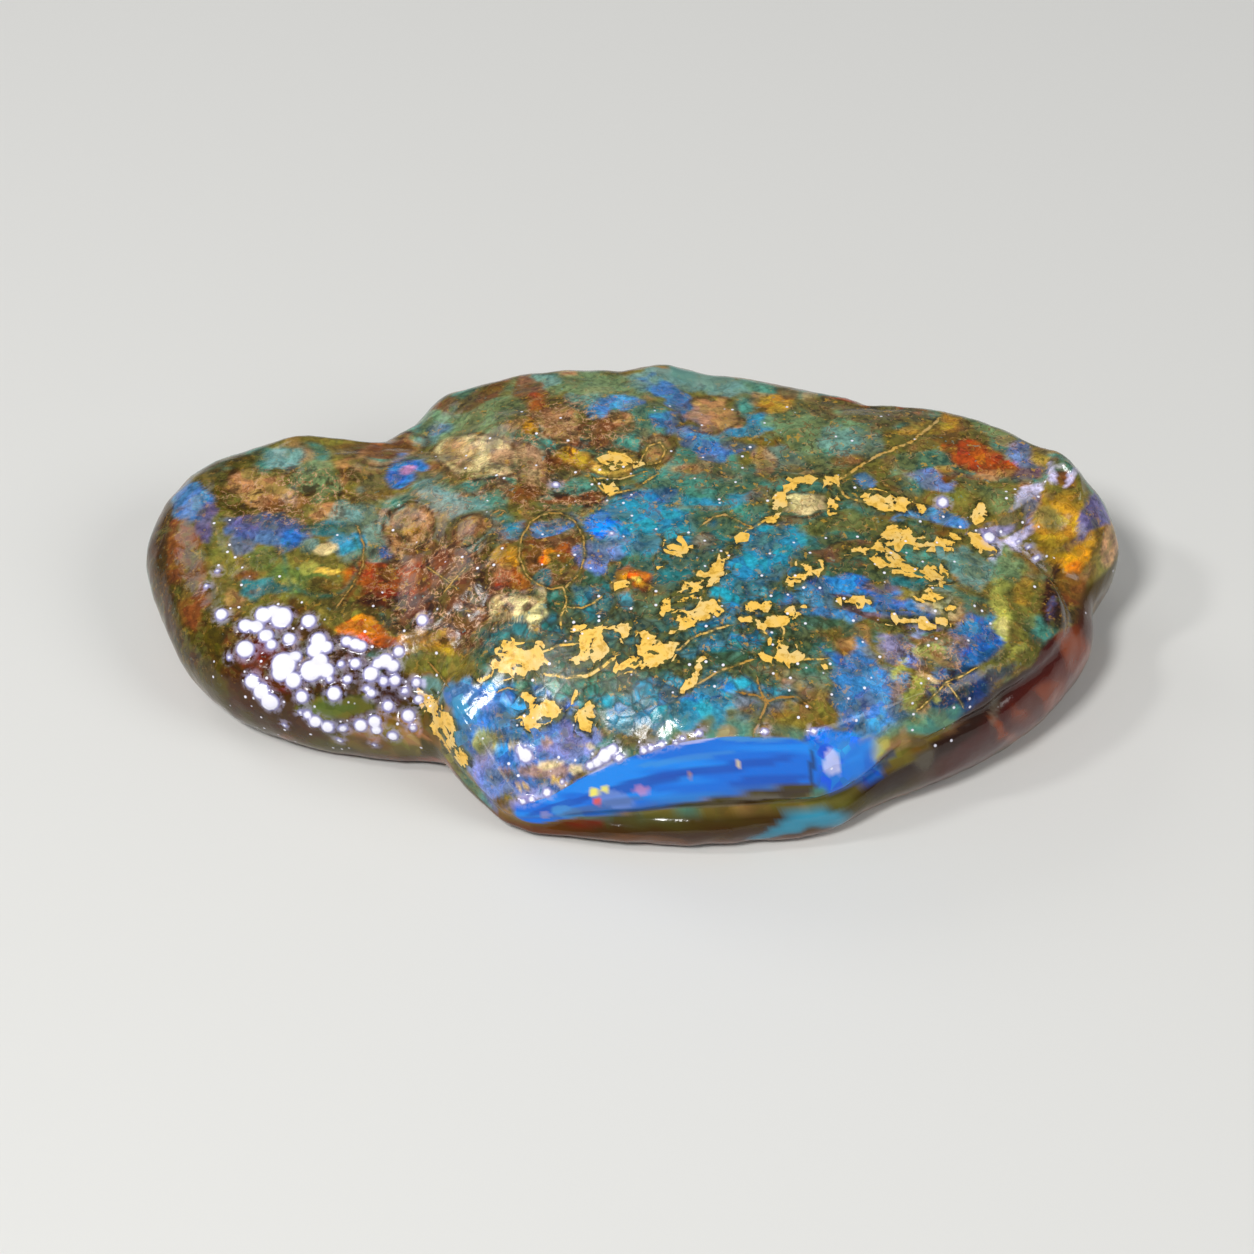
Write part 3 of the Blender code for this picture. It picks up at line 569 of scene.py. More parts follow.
        ("brightTeal", 812, 822, 36, 7, 14, 0.9), ("brightTeal", 776, 832, 26, 4, 8, 0.8),
        ("brown", 620, 840, 60, 4, 0, 0.6), ("brown", 505, 816, 26, 5, -30, 0.7),
        ("oliveDark", 240, 720, 130, 40, 28, 0.9), ("moss", 220, 690, 60, 12, 34, 0.5),
        ("rust", 250, 752, 70, 6, 26, 0.8), ("leafGreen", 330, 745, 50, 10, 10, 0.4),
        ("redBrown", 425, 772, 80, 10, 3, 0.9), ("rust", 440, 764, 30, 4, 3, 0.7),
    ],
}
lowAreas = ("flank", "shelf")  # the others are painted on the top

# the upper edge of the bare flank
flankEdge = [
    (866, 800), (891, 781), (939, 736), (960, 718), (1002, 685), (1032, 667), (1048, 640), (1062, 630),
    (1095, 615), (1130, 605),
]
# the bevel's blue: the line that ends it below, and the spots on it, rows as above
azure = {
    "foot": [(496, 834), (560, 824), (650, 809), (740, 794), (800, 783), (880, 782)],
    "streaks": ((0.22, 1.0, 1.9), 1.1, 31),  # stretch, size and seed of the long soft streaks
    "clouds": (1.4, 32),
    # colour, strength, where above the foot it starts and is full, and where in the noise
    # the lighter blue along the upper edge is a painted highlight
    "paler": ("brightBlue", 0.9, (14.0, 34.0), 0.4, (0.0, 0.6)),  # and what the height adds to the streaks
    "deeper": ("blue", 0.75, (16.0, 2.0), (-0.4, 0.4)),
    "foggy": ("indigo", 0.5, (9.0, 0.0), (-0.1, 0.5)),
    "spotRipple": 0.8,
    "spots": [
        ("royalBlue", 640, 784, 60, 6, 13, 0.8), ("royalBlue", 724, 768, 70, 5, 9, 0.7),
        ("royalBlue", 772, 780, 40, 6, 6, 0.7), ("royalBlue", 560, 806, 36, 4, 16, 0.7),
        ("clearBlue", 690, 758, 50, 3, 9, 0.5), ("navy", 812, 764, 3, 22, -4, 0.8),
        # the pale lilac streaks along the upper edge, and the pale lilac and white spots by the crease
        # below, are painted highlights
        ("paleLilac", 596, 768, 22, 4, 24, 0.8), ("paleLilac", 640, 750, 26, 4, 14, 0.7),
        ("paleLilac", 690, 741, 26, 3, 8, 0.6), ("clearBlue", 760, 737, 40, 5, 2, 0.7),
        ("paleLilac", 831, 764, 10, 20, 0, 0.8), ("brightBlue", 852, 762, 12, 22, 0, 0.5),
        ("periwinkle", 610, 798, 22, 9, -14, 0.8), ("clearBlue", 566, 812, 16, 6, -8, 0.8),
        ("lilac", 545, 815, 6, 4, 0, 0.7), ("sparkYellow", 594, 792, 6, 5, 0, 1.0),
        ("sparkYellow", 605, 789, 4, 4, 0, 0.9), ("sparkRed", 598, 801, 4, 5, 0, 0.9),
        ("pink", 641, 790, 8, 4, 0, 0.6), ("cream", 738, 764, 3, 3, 0, 0.8),
        ("tan", 690, 775, 3, 3, 0, 0.7), ("white", 832, 758, 4, 4, 0, 0.9),
        ("white", 836, 772, 6, 5, 20, 0.9), ("white", 828, 782, 3, 4, 0, 0.8),
        ("clearBlue", 824, 742, 7, 8, 0, 0.6), ("indigo", 600, 806, 40, 4, 12, 0.6),
    ],
}

# oval rims, rows as above
rims = [
    ("darkBrown", 411, 526, 27, 24, 0, 1.0), ("tan", 411, 526, 22, 19, 0, 0.8),
    ("umber", 409, 528, 13, 10, 30, 0.6), ("threadTan", 416, 521, 9, 6, 20, 0.8),
    ("darkBrown", 468, 531, 19, 13, 38, 0.9), ("tan", 468, 531, 16, 10, 38, 0.5),
    ("umber", 485, 549, 8, 17, -35, 0.8), ("umber", 478, 456, 42, 23, -8, 0.8),
    ("cream", 478, 455, 38, 19, -8, 0.6), ("umber", 531, 463, 19, 25, 0, 0.7),
    ("umber", 564, 421, 27, 18, 0, 0.7), ("umber", 708, 414, 31, 18, 6, 0.7),
    ("cream", 519, 608, 28, 13, -14, 0.7), ("darkBrown", 519, 608, 31, 16, -14, 0.7),
    ("umber", 804, 505, 29, 12, 4, 0.8), ("darkTeal", 322, 560, 38, 36, 0, 0.8),
    ("umber", 392, 449, 37, 16, 14, 0.8), ("tan", 390, 452, 30, 11, 14, 0.5),
    ("umber", 264, 489, 38, 20, -12, 0.6), ("umber", 552, 551, 34, 38, 0, 0.6),
    ("umber", 572, 455, 25, 13, 0, 0.7), ("umber", 614, 461, 28, 12, 4, 0.8),
    ("umber", 655, 451, 16, 13, 20, 0.8), ("darkOlive", 339, 709, 35, 15, -8, 0.8),
    ("umber", 974, 455, 28, 15, -8, 0.5), ("darkOlive", 604, 602, 13, 11, 0, 0.7),
    ("darkOlive", 626, 612, 12, 10, 10, 0.7), ("umber", 421, 619, 9, 9, 0, 0.6),
    ("darkOlive", 562, 602, 14, 16, 0, 0.6), ("darkOlive", 560, 634, 15, 10, 20, 0.6),
    ("umber", 701, 544, 12, 10, 10, 0.6),
]

# where each kind of texture lies, rows as above without the colour
shares = {
    "pebble": [  # small rounded cells parted by olive lines
        (600, 660, 130, 74, 0, 1.0), (760, 640, 110, 90, 0, 0.8), (700, 560, 190, 60, 0, 0.6),
        (900, 520, 150, 60, 0, 0.35), (640, 470, 160, 60, 0, 0.3), (850, 690, 60, 50, 0, 0.45),
    ],
    "crust": [  # torn olive film
        (300, 560, 170, 130, 0, 0.42), (450, 570, 100, 100, 0, 0.8), (560, 450, 170, 80, 0, 0.7),
        (700, 520, 320, 120, 0, 0.75), (900, 450, 200, 90, 0, 0.85), (650, 640, 220, 70, 0, 0.85),
        (820, 640, 180, 90, 0, 0.6), (1000, 620, 90, 90, 0, 0.6), (1060, 530, 60, 60, 0, 0.55),
        (560, 740, 120, 60, 16, 0.45), (160, 620, 50, 110, 0, 0.3),
    ],
    "bark": [  # fine crumpled fibres
        (446, 588, 76, 56, -10, 1.0), (570, 499, 60, 12, 4, 1.0), (510, 480, 70, 30, 0, 0.7),
        (575, 430, 66, 36, 0, 0.85), (412, 528, 32, 28, 0, 0.6), (395, 640, 60, 20, 0, 0.5),
        (290, 496, 76, 30, 0, 0.9), (924, 668, 46, 44, 0, 0.8), (552, 551, 36, 40, 0, 0.5),
    ],
    "speckle": [  # grains of white dust, partly painted sparkle highlights
        (560, 750, 70, 48, 16, 1.0), (1012, 546, 46, 18, -28, 1.0), (1020, 500, 34, 16, 34, 1.0),
        (232, 560, 20, 50, 8, 0.9), (320, 690, 120, 76, -16, 0.9), (860, 640, 130, 90, 0, 0.5),
        (940, 690, 60, 50, 0, 0.6), (832, 760, 26, 24, 0, 0.8), (700, 560, 330, 150, 0, 0.3),
        (420, 700, 26, 40, -20, 0.9),
    ],
    "clear": [  # see-through resin with little crust over it
        (1030, 700, 120, 90, 36, 0.5), (920, 760, 70, 26, 36, 0.5), (690, 824, 130, 16, 0, 0.35),
        (1068, 535, 34, 38, 0, 0.45), (158, 600, 30, 110, 0, 0.3), (250, 730, 80, 26, -28, 0.3),
        (380, 758, 70, 14, -10, 0.5), (476, 394, 50, 10, 20, 0.5), (339, 709, 34, 13, -8, 0.5),
        (410, 642, 36, 14, -4, 0.5), (380, 590, 40, 20, 10, 0.35),
    ],
}

# outlines of the gold patches in the picture
goldPatches = {
    "frontLeft": [(479, 680), (493, 674), (493, 664), (498, 653), (510, 655), (506, 643), (519, 647),
        (538, 646), (541, 653), (550, 663), (541, 671), (528, 675), (508, 676), (497, 676)],
    "frontMiddle": [(571, 665), (569, 658), (577, 654), (577, 646), (574, 632), (590, 628), (602, 626),
        (611, 628), (605, 636), (607, 647), (602, 657), (595, 661), (584, 664)],
    "frontMiddleLeft": [(622, 628), (631, 631), (628, 638), (622, 642), (620, 634)],
    "frontRight": [(641, 631), (648, 634), (662, 641), (680, 643), (675, 649), (670, 657), (656, 666),
        (639, 670), (628, 666), (618, 669), (626, 658), (637, 655), (639, 648), (643, 641)],
    "diagonal": [(751, 529), (741, 541), (733, 550), (727, 560), (722, 573), (712, 581), (704, 589),
        (700, 600), (690, 604), (676, 608), (664, 613), (668, 604), (680, 595), (688, 586), (699, 577),
        (708, 570), (716, 561), (722, 551), (731, 543), (740, 535)],
    "diagonalFoot": [(663, 635), (676, 625), (684, 613), (694, 606), (704, 604), (713, 601), (721, 610),
        (712, 619), (700, 624), (686, 628), (675, 633)],
    "upperSpot": [(665, 545), (674, 540), (684, 543), (688, 550), (678, 556), (668, 553)],
    "upperSpotLow": [(658, 562), (664, 559), (668, 563), (662, 566)],
    "sparkLeft": [(613, 583), (620, 579), (628, 584), (625, 591), (616, 592)],
    "rightUpper": [(786, 583), (790, 574), (804, 570), (797, 562), (810, 563), (819, 566), (813, 577),
        (801, 584), (790, 586)],
    "smallLeft": [(748, 607), (755, 602), (770, 603), (766, 611), (757, 609)],
    "smallRight": [(785, 611), (796, 605), (804, 607), (792, 614)],
    "starTop": [(741, 621), (753, 622), (765, 622), (768, 618), (777, 617), (787, 620), (779, 624),
        (774, 629), (766, 627), (752, 624)],
    "star": [(773, 645), (777, 637), (781, 633), (784, 642), (790, 644), (797, 646), (790, 651), (800, 657),
        (789, 659), (785, 665), (777, 666), (773, 660), (762, 658), (752, 655), (764, 654), (773, 652)],
    "starDot": [(817, 668), (823, 664), (826, 668), (820, 671)],
    "leaf": [(517, 725), (530, 716), (536, 704), (532, 699), (524, 698), (519, 703), (527, 694), (533, 702),
        (547, 698), (561, 701), (575, 693), (565, 707), (556, 718), (541, 719), (530, 728)],
    "leafSmall": [(588, 698), (592, 704), (587, 711), (592, 722), (591, 735), (580, 728), (577, 718),
        (584, 708)],
    "yPiece": [(677, 672), (691, 675), (702, 662), (699, 669), (694, 681), (684, 690), (688, 680)],
    "farRight": [(871, 557), (878, 551), (892, 550), (900, 562), (919, 567), (936, 564), (944, 574),
        (947, 584), (933, 582), (919, 575), (903, 571), (887, 570), (876, 564)],
    "farBand": [(846, 551), (870, 546), (884, 536), (892, 530), (903, 528), (907, 535), (902, 541),
        (928, 541), (947, 537), (958, 540), (958, 547), (941, 546), (919, 549), (895, 547), (872, 552)],
    "ridgeBlob": [(970, 536), (978, 536), (986, 543), (995, 551), (988, 555), (975, 549)],
    "farLow": [(919, 596), (933, 593), (949, 597), (944, 601), (952, 607), (960, 617), (950, 612),
        (940, 603), (930, 598)],
    "farRow": [(880, 620), (905, 617), (930, 619), (948, 618), (946, 625), (915, 624), (893, 624)],
    "dots": [(840, 600), (852, 599), (868, 602), (858, 605), (845, 604)],
    "pocketRim": [(769, 518), (773, 503), (780, 493), (797, 477), (820, 477), (837, 480), (831, 493),
        (838, 505), (832, 512), (826, 504), (828, 490), (818, 482), (799, 483), (785, 495), (780, 508),
        (776, 516)],
    "backSmall": [(865, 500), (878, 491), (892, 499), (908, 504), (919, 502), (930, 512), (911, 514),
        (892, 510), (876, 507)],
    "backSpot": [(975, 516), (978, 506), (984, 505), (983, 516), (979, 522)],
    "wedge": [(419, 690), (430, 695), (441, 702), (447, 721), (454, 740), (465, 766), (455, 753),
        (440, 733), (428, 715)],
    "lensTop": [(600, 460), (612, 455), (628, 458), (640, 464), (628, 468), (612, 467)],
    "lensFoot": [(600, 482), (608, 484), (618, 490), (611, 495), (604, 490)],
}

# lines in the picture: half width in pixels, share of gold in their brown, then their points
veins = {
    "backCrack": (1.6, 0.6, [(938, 420), (911, 442), (876, 456), (854, 470), (837, 481)]),
    "pocketFoot": (1.6, 0.8, [(771, 517), (757, 525), (748, 530)]),
    "pocketSide": (1.2, 0.7, [(834, 481), (846, 497), (870, 504)]),
    "branchUp": (1.1, 0.5, [(754, 528), (742, 523), (733, 518), (724, 514), (712, 518), (704, 524)]),
    "bridge": (1.3, 1.0, [(541, 653), (556, 646), (575, 644)]),
    "underBand": (1.8, 1.0, [(546, 675), (566, 677), (586, 676), (597, 671), (605, 665), (613, 659)]),
    "tail": (1.2, 0.8, [(664, 656), (680, 649), (692, 638), (710, 631), (727, 626)]),
    "starArm": (1.4, 0.9, [(789, 660), (800, 659), (822, 659)]),
    "starStem": (1.3, 0.9, [(783, 640), (784, 630), (781, 624)]),
    "ring": (1.0, 0.45, [(551, 589), (567, 586), (579, 574), (585, 556), (583, 537), (575, 521), (560, 513),
        (544, 514), (530, 522), (521, 538), (519, 556), (526, 574), (538, 585), (551, 589)]),
    "ringStem": (1.0, 0.6, [(564, 588), (567, 600), (565, 607), (582, 608), (594, 603), (602, 596)]),
    "ringFoot": (1.2, 0.8, [(565, 607), (560, 616), (561, 626)]),
    "brownStar": (1.3, 0.25, [(740, 692), (755, 695), (767, 702), (780, 697), (797, 697), (812, 709)]),
    "brownStarUp": (1.1, 0.3, [(767, 702), (760, 690), (757, 680)]),
    "brownStarLow": (1.4, 0.3, [(767, 702), (762, 716), (755, 731)]),
    "navyCross": (0.9, 0.8, [(919, 709), (930, 700), (939, 690), (946, 682), (962, 676), (976, 668)]),
    "navyArm": (0.9, 0.8, [(946, 682), (957, 696), (962, 704)]),
    "barkX": (0.8, 0.5, [(429, 568), (443, 578), (456, 588)]),
    "barkY": (0.8, 0.5, [(466, 567), (455, 579), (444, 592)]),
    "spindle": (1.0, 0.3, [(358, 528), (364, 546), (363, 566), (352, 586), (336, 608)]),
    "lensArc": (1.1, 0.7, [(594, 479), (601, 488), (610, 495), (636, 488), (654, 476)]),
    "lensArcTop": (0.9, 0.7, [(600, 478), (620, 479), (644, 472)]),
    "earLoop": (1.0, 0.6, [(640, 462), (648, 446), (660, 442), (666, 450), (660, 462), (650, 464)]),
    "curl": (0.8, 0.3, [(490, 516), (497, 510), (504, 511), (499, 517), (490, 516)]),
    "stepLine": (1.0, 0.3, [(430, 664), (440, 675), (446, 684)]),
    "frontScratch": (0.9, 0.5, [(500, 691), (508, 688), (516, 690)]),
    "goldSplit": (1.2, 0.5, [(700, 683), (716, 672), (740, 664), (752, 660)]),
}

# middle and radius in pixels of the round beads and grains; their tops are painted white as highlights, with
# a lilac edge and a pale lilac haze, and the small ones along the bevel's upper edge, by its crease and on
# the right ridge stand for glints
beads = [
    (220, 613, 7), (244, 649, 10), (246, 625, 8), (262, 614, 9), (256, 627, 8), (274, 609, 7),
    (282, 616, 12), (265, 635, 8), (272, 643, 6), (289, 638, 7), (308, 621, 8), (318, 639, 9),
    (326, 647, 7), (313, 650, 8), (283, 663, 13), (280, 672, 9), (296, 656, 7), (293, 680, 9),
    (311, 669, 12), (326, 669, 9), (319, 660, 9), (252, 683, 8), (260, 692, 9), (269, 702, 10),
    (302, 696, 7), (334, 693, 8), (314, 722, 7), (327, 727, 7), (308, 716, 5), (342, 728, 5), (339, 739, 4),
    (359, 726, 7), (375, 722, 7), (376, 730, 6), (393, 737, 6), (388, 705, 6), (409, 715, 7), (372, 673, 8),
    (383, 680, 5), (396, 680, 6), (398, 652, 6), (386, 661, 8), (393, 665, 7), (378, 663, 6), (355, 643, 7),
    (347, 641, 6), (361, 645, 6), (355, 663, 6), (348, 679, 5), (372, 693, 5), (367, 689, 4), (417, 683, 5),
    (418, 699, 5), (285, 725, 3), (374, 743, 3), (207, 586, 3), (219, 570, 3), (228, 657, 3), (340, 664, 4),
    (330, 680, 4), (300, 712, 3), (404, 690, 4), (412, 727, 4), (526, 754, 8), (521, 750, 5), (524, 802, 4),
    (532, 798, 4), (545, 792, 5), (564, 782, 3), (589, 767, 5), (597, 762, 6), (604, 756, 8), (613, 750, 6),
    (620, 759, 5), (642, 751, 4), (651, 748, 4), (660, 745, 4), (674, 742, 3), (682, 738, 3), (699, 733, 4),
    (764, 732, 4), (812, 731, 4), (942, 501, 6), (991, 536, 7), (1037, 557, 4), (1030, 548, 3),
    (1020, 543, 3), (1012, 546, 3), (556, 484, 4), (421, 619, 6), (611, 534, 3),
]

# how the markings are laid on
markLook = {
    "bendX": [(13.0, 2.0, 41), (7.0, 0.8, 42)],  # amount, size, seed: how far the spots are pulled about
    "bendY": [(9.0, 2.0, 43), (5.0, 0.8, 44)],
    "sideBend": 0.6,  # share of the bend for the flank, the shelf and the shares
    "rimBend": 0.3,
    "fullBend": 26.0,  # half width from which a spot takes all of the bend: small ones keep their places
    "ripples": 5,  # noises that tear the spots' edges, by turns
    "rippleNoise": [(1.0, 0.9, 51), (0.6, 0.5, 61)],
    "swayNoise": [(1.0, 1.1, 71), (0.5, 0.55, 81)],  # the swirls that pull the texture
    "ripple": 0.42,
    "tornEdge": (0.18, 0.66),  # where a torn edge starts and is full, in share of its strength
    "spotEdge": (0.55, 1.35),  # where a spot starts to fade and ends, in half widths
    "rimWidth": 2.1,
    "rimBreaks": (-0.9, -0.3),  # in the ripples, where a rim is gone and where it is whole
    "outlined": ("tan", "cream", "pinkTan", "mauve", "ochre", "amber", "gold"),
    "largestOutlined": 45,
    "outlineAt": (0.35, 0.14, 0.6),  # share where the dark outline lies, its width and its strength
    "far": 24.0,  # distances are followed up to this
    "veinReach": (3.0, 7.0),  # half widths from a vein where its effect starts to fade and ends
    "noVein": (9.0, 99.0),  # half widths where there is none, with a side and without
    "faces": 0.2,  # how squarely the skin faces the eye where the picture's colours are full
    "shownLeast": 0.3,  # share of the picture's colours that gold and veins need
    "hiddenFoot": (0.8, 4.5, 0.5),  # strength of the red brown below, and the heights where it comes
    "lowFoot": (0.7, 2.2, 0.4),
    "hiddenCrust": 0.6,
    "leastPebble": 0.45,
    # light let in: gain and loss on the clear share, more in the low parts and the hidden ones
    "clear": {"gain": 0.45, "loss": 0.05, "low": 0.1, "hidden": 0.15, "most": 0.6},
    # grounds: colour, strength, size and seed of its noise, and where in it the colour starts and is full
    "topGround": [("tealGreen", 0.9, 2.0, 45, -0.1, 0.3), ("oliveBrown", 0.8, 1.5, 46, 0.0, 0.5),
                  ("tan", 0.6, 1.2, 47, 0.25, 0.6)],
    "hiddenGround": [("brown", 1.0, 5.0, 21, -0.1, 0.4), ("tealGreen", 1.0, 4.2, 22, 0.1, 0.45),
                     ("rust", 1.0, 3.6, 23, 0.3, 0.6), ("greyTeal", 1.0, 3.0, 24, 0.3, 0.6),
                     ("ochre", 1.0, 2.6, 25, 0.4, 0.7)],
}


def ovalReach(px, py, row):
    # distance from the middle of a tilted ellipse, where one is its edge
    x, y, halfWidth, halfHeight, tilt = row[:5]
    turn = np.radians(tilt)
    right, rise = px - x, y - py
    u = (right * np.cos(turn) + rise * np.sin(turn)) / halfWidth
    v = (rise * np.cos(turn) - right * np.sin(turn)) / halfHeight
    return np.hypot(u, v)


def blobShare(px, py, row):
    # the row's strength inside a tilted ellipse, none past a third beyond it
    return row[5] * (1.0 - ramp(ovalReach(px, py, row), *markLook["spotEdge"]))


def rimShare(px, py, row):
    # the row's strength, times a bell of the distance in pixels from a tilted ellipse's edge
    off = (ovalReach(px, py, row) - 1.0) * np.sqrt(row[2] * row[3])
    return row[5] * bell(off, markLook["rimWidth"])


def inwardDepth(px, py, outline):
    # signed distance in pixels to a closed outline: to the nearest edge, and positive inside, where a
    # line to the right crosses an odd count of edges
    far = markLook["far"]
    depth = np.full(px.shape, -far)
    corner = np.array(outline, float)
    low, high = corner.min(axis=0) - far, corner.max(axis=0) + far
    near = (px > low[0]) & (px < high[0]) & (py > low[1]) & (py < high[1])
    spot = np.stack([px[near], py[near]], axis=-1)[:, None, :]
    start, end = corner, np.roll(corner, -1, axis=0)
    edge = end - start
    along = np.clip(((spot - start) * edge).sum(-1) / (edge**2).sum(-1), 0.0, 1.0)
    gap = np.linalg.norm(spot - start - along[..., None] * edge, axis=-1).min(axis=1)
    across = (spot[..., 1] < start[:, 1]) != (spot[..., 1] < end[:, 1])
    rise = np.where(edge[:, 1] == 0.0, tiny, edge[:, 1])
    reach = start[:, 0] + (spot[..., 1] - start[:, 1]) * edge[:, 0] / rise
    inside = (across & (spot[..., 0] < reach)).sum(axis=1) % 2 == 1
    depth[near] = np.maximum(np.where(inside, gap, -gap), -far)
    return depth


def lineSide(px, py, points):
    # signed distance in pixels to an open line, positive on its left, and the plain distance
    corner = np.array(points, float)
    start, edge = corner[:-1], corner[1:] - corner[:-1]
    spot = np.stack([px, py], axis=-1)[:, None, :]
    along = np.clip(((spot - start) * edge).sum(-1) / (edge**2).sum(-1), 0.0, 1.0)
    away = spot - start - along[..., None] * edge
    gap = np.linalg.norm(away, axis=-1)
    nearest = gap.argmin(axis=1)
    rows = np.arange(len(px))
    side = edge[nearest, 0] * away[rows, nearest, 1] - edge[nearest, 1] * away[rows, nearest, 0]
    plain = gap[rows, nearest]
    return np.where(side < 0.0, -plain, plain), plain


# Fine relief, in millimetres along the surface's own outward direction

relief = {
    "noises": [(0.10, 3.4, 3), (0.065, 1.3, 5), (0.021, 0.45, 8)],  # rise, size, seed: waves, lumps, grain
    "polish": 0.85,  # share of it that the bevel loses
    "beadRise": 0.50,  # share of a bead's radius
    "ring": (0.07, 2.4),  # rise, and width in pixels
    "crest": [(1049, 484), (1053, 472), (1057, 462), (1066, 467), (1074, 477), (1079, 494)],
    "crestRise": 0.40,
    "crestWidth": 4.0,  # pixels
    "crestSharpness": 1.3,
    "disc": (411, 526, 27, 24, 0),  # middle and half sizes in pixels, tilt
    "discRim": (0.16, 0.12),  # rise, and width in half sizes
    "discDome": (0.12, 0.3, 0.95),  # rise, then where it starts to fall and ends
    "beans": [(468, 531, 18, 12, 38, 0.22), (484, 548, 6, 14, -35, 0.18), (519, 608, 26, 12, -14, 0.15)],
    "facesLeast": 0.1,  # relief placed by the picture needs skin that faces the eye by this much
    "beadFacesLeast": 0.15,
    "noBead": -9.0,  # the depth in a bead where there is none near
    "underFade": (0.7, 0.95),  # how far down the skin faces where the relief starts to fade and ends
}


def beadPlaces(flat, px, py, facing):
    # the surface point nearest to each bead's place in the picture, and the bead's radius
    seen = np.flatnonzero(facing > relief["beadFacesLeast"])
    rows = np.array(beads, float)
    gap = (px[seen][:, None] - rows[:, 0]) ** 2 + (py[seen][:, None] - rows[:, 1]) ** 2
    return flat[seen[gap.argmin(axis=0)]], rows[:, 2] / pixelsPerMm


def beadDepths(flat, places, radii):
    # how far inside the nearest bead's round edge each point lies, in millimetres, and that bead's radius
    best, radiusThere = np.full(len(flat), relief["noBead"]), np.ones(len(flat))
    for place, radius in zip(places, radii):
        depth = radius - np.linalg.norm(flat - place, axis=-1)
        radiusThere = np.where(depth > best, radius, radiusThere)
        best = np.maximum(best, depth)
    return best, radiusThere


def reliefHeight(flat, px, py, facing, polished, under):
    # soft noise of three sizes, a dome for each bead and bean, a low ridge for the ring, a disc with a rim
    # and a sharp crest: less on the polished bevel, none under the stone
    height = layeredNoise(flat, relief["noises"])
    height *= 1.0 - relief["polish"] * polished
    seen = facing > relief["facesLeast"]
    depth, radius = beadDepths(flat, *beadPlaces(flat, px, py, facing))
    inside = np.clip(depth / radius, 0.0, 1.0)
    height += relief["beadRise"] * radius * np.sqrt(1.0 - (1.0 - inside) ** 2)
    rise, width = relief["ring"]
    height += seen * rise * bell(lineSide(px, py, veins["ring"][2])[1], width)
    crestGap = lineSide(px, py, relief["crest"])[1] / relief["crestWidth"]
    height += seen * relief["crestRise"] * np.exp(-(crestGap ** relief["crestSharpness"]))
    out = ovalReach(px, py, relief["disc"])
    rimRise, rimWidth = relief["discRim"]
    domeRise, *domeEdge = relief["discDome"]
    height += seen * (rimRise * bell(out - 1.0, rimWidth) + domeRise * (1.0 - ramp(out, *domeEdge)))
    for *row, rise in relief["beans"]:
        height += seen * rise * blobShare(px, py, (*row, 1.0))
    return height * (1.0 - under)


def mixed(base, colour, share):
    # base + (colour - base) share
    return base + (linearColour(palette[colour]) - base) * np.clip(share, 0.0, 1.0)[:, None]


def mottled(flat, ground, rows):
    # one ground colour, and over it each row's colour where its own noise is high
    colour = np.tile(linearColour(palette[ground]), (len(flat), 1))
    for name, strength, size, seed, low, high in rows:
        colour = mixed(colour, name, strength * ramp(softNoise(flat, size, seed), low, high))
    return colour


def ragged(share, ripple):
    # a soft blob gets a torn edge: its share plus a ripple, cut steeply, and never above its own strength
    part = share / max(share.max(), tiny) + markLook["ripple"] * ripple
    return share.max() * ramp(part, *markLook["tornEdge"]) * (share > 0.0)


def outlined(base, colour, share, row):
    # small spots of crust end in a dark line: a bell of the share about its place
    if colour not in markLook["outlined"] or max(row[2], row[3]) > markLook["largestOutlined"]:
        return base
    at, width, strength = markLook["outlineAt"]
    return mixed(base, "umber", strength * bell(share / max(share.max(), tiny) - at, width))


def hiddenColour(flat):
    # the back, the sides and the underside, which the picture doesn't show: mottled resin, browner below
    colour = mottled(flat, "oliveGreen", markLook["hiddenGround"])
    strength, *heights = markLook["hiddenFoot"]
    return mixed(colour, "redBrown", strength * ramp(flat[:, 2], *heights))


def bevelColour(flat, px, py):
    # azure with long soft streaks, a lighter blue along the upper edge as a painted highlight, deeper at the
    # foot, and painted white highlights past the crease
    above = -lineSide(px, py, azure["foot"])[0]
    stretch, size, seed = azure["streaks"]
    streak = softNoise(flat * np.array(stretch), size, seed)
    cloud = softNoise(flat, *azure["clouds"])
    colour = np.tile(linearColour(palette["azure"]), (len(flat), 1))
    name, strength, heights, gain, reach = azure["paler"]
    colour = mixed(colour, name, strength * ramp(streak + gain * ramp(above, *heights), *reach))
    for key, noise in (("deeper", streak), ("foggy", cloud)):
        name, strength, heights, reach = azure[key]
        colour = mixed(colour, name, strength * ramp(above, *heights) * ramp(noise, *reach))
    for name, *row in azure["spots"]:
        colour = mixed(colour, name, ragged(blobShare(px, py, row), azure["spotRipple"] * cloud))
    return colour


def veinMarks(px, py):
    # of the vein that is nearest in its own half widths: the signed distance in them, its share of gold
    # and the plain distance
    side, near = (np.full(len(px), away) for away in markLook["noVein"])
    glow = np.zeros(len(px))
    for halfWidth, bright, points in veins.values():
        signed, plain = lineSide(px, py, points)
        closer = plain / halfWidth < near
        side = np.where(closer, signed / halfWidth, side)
        glow = np.where(closer, bright, glow)
        near = np.where(closer, plain / halfWidth, near)
    return side, glow, near


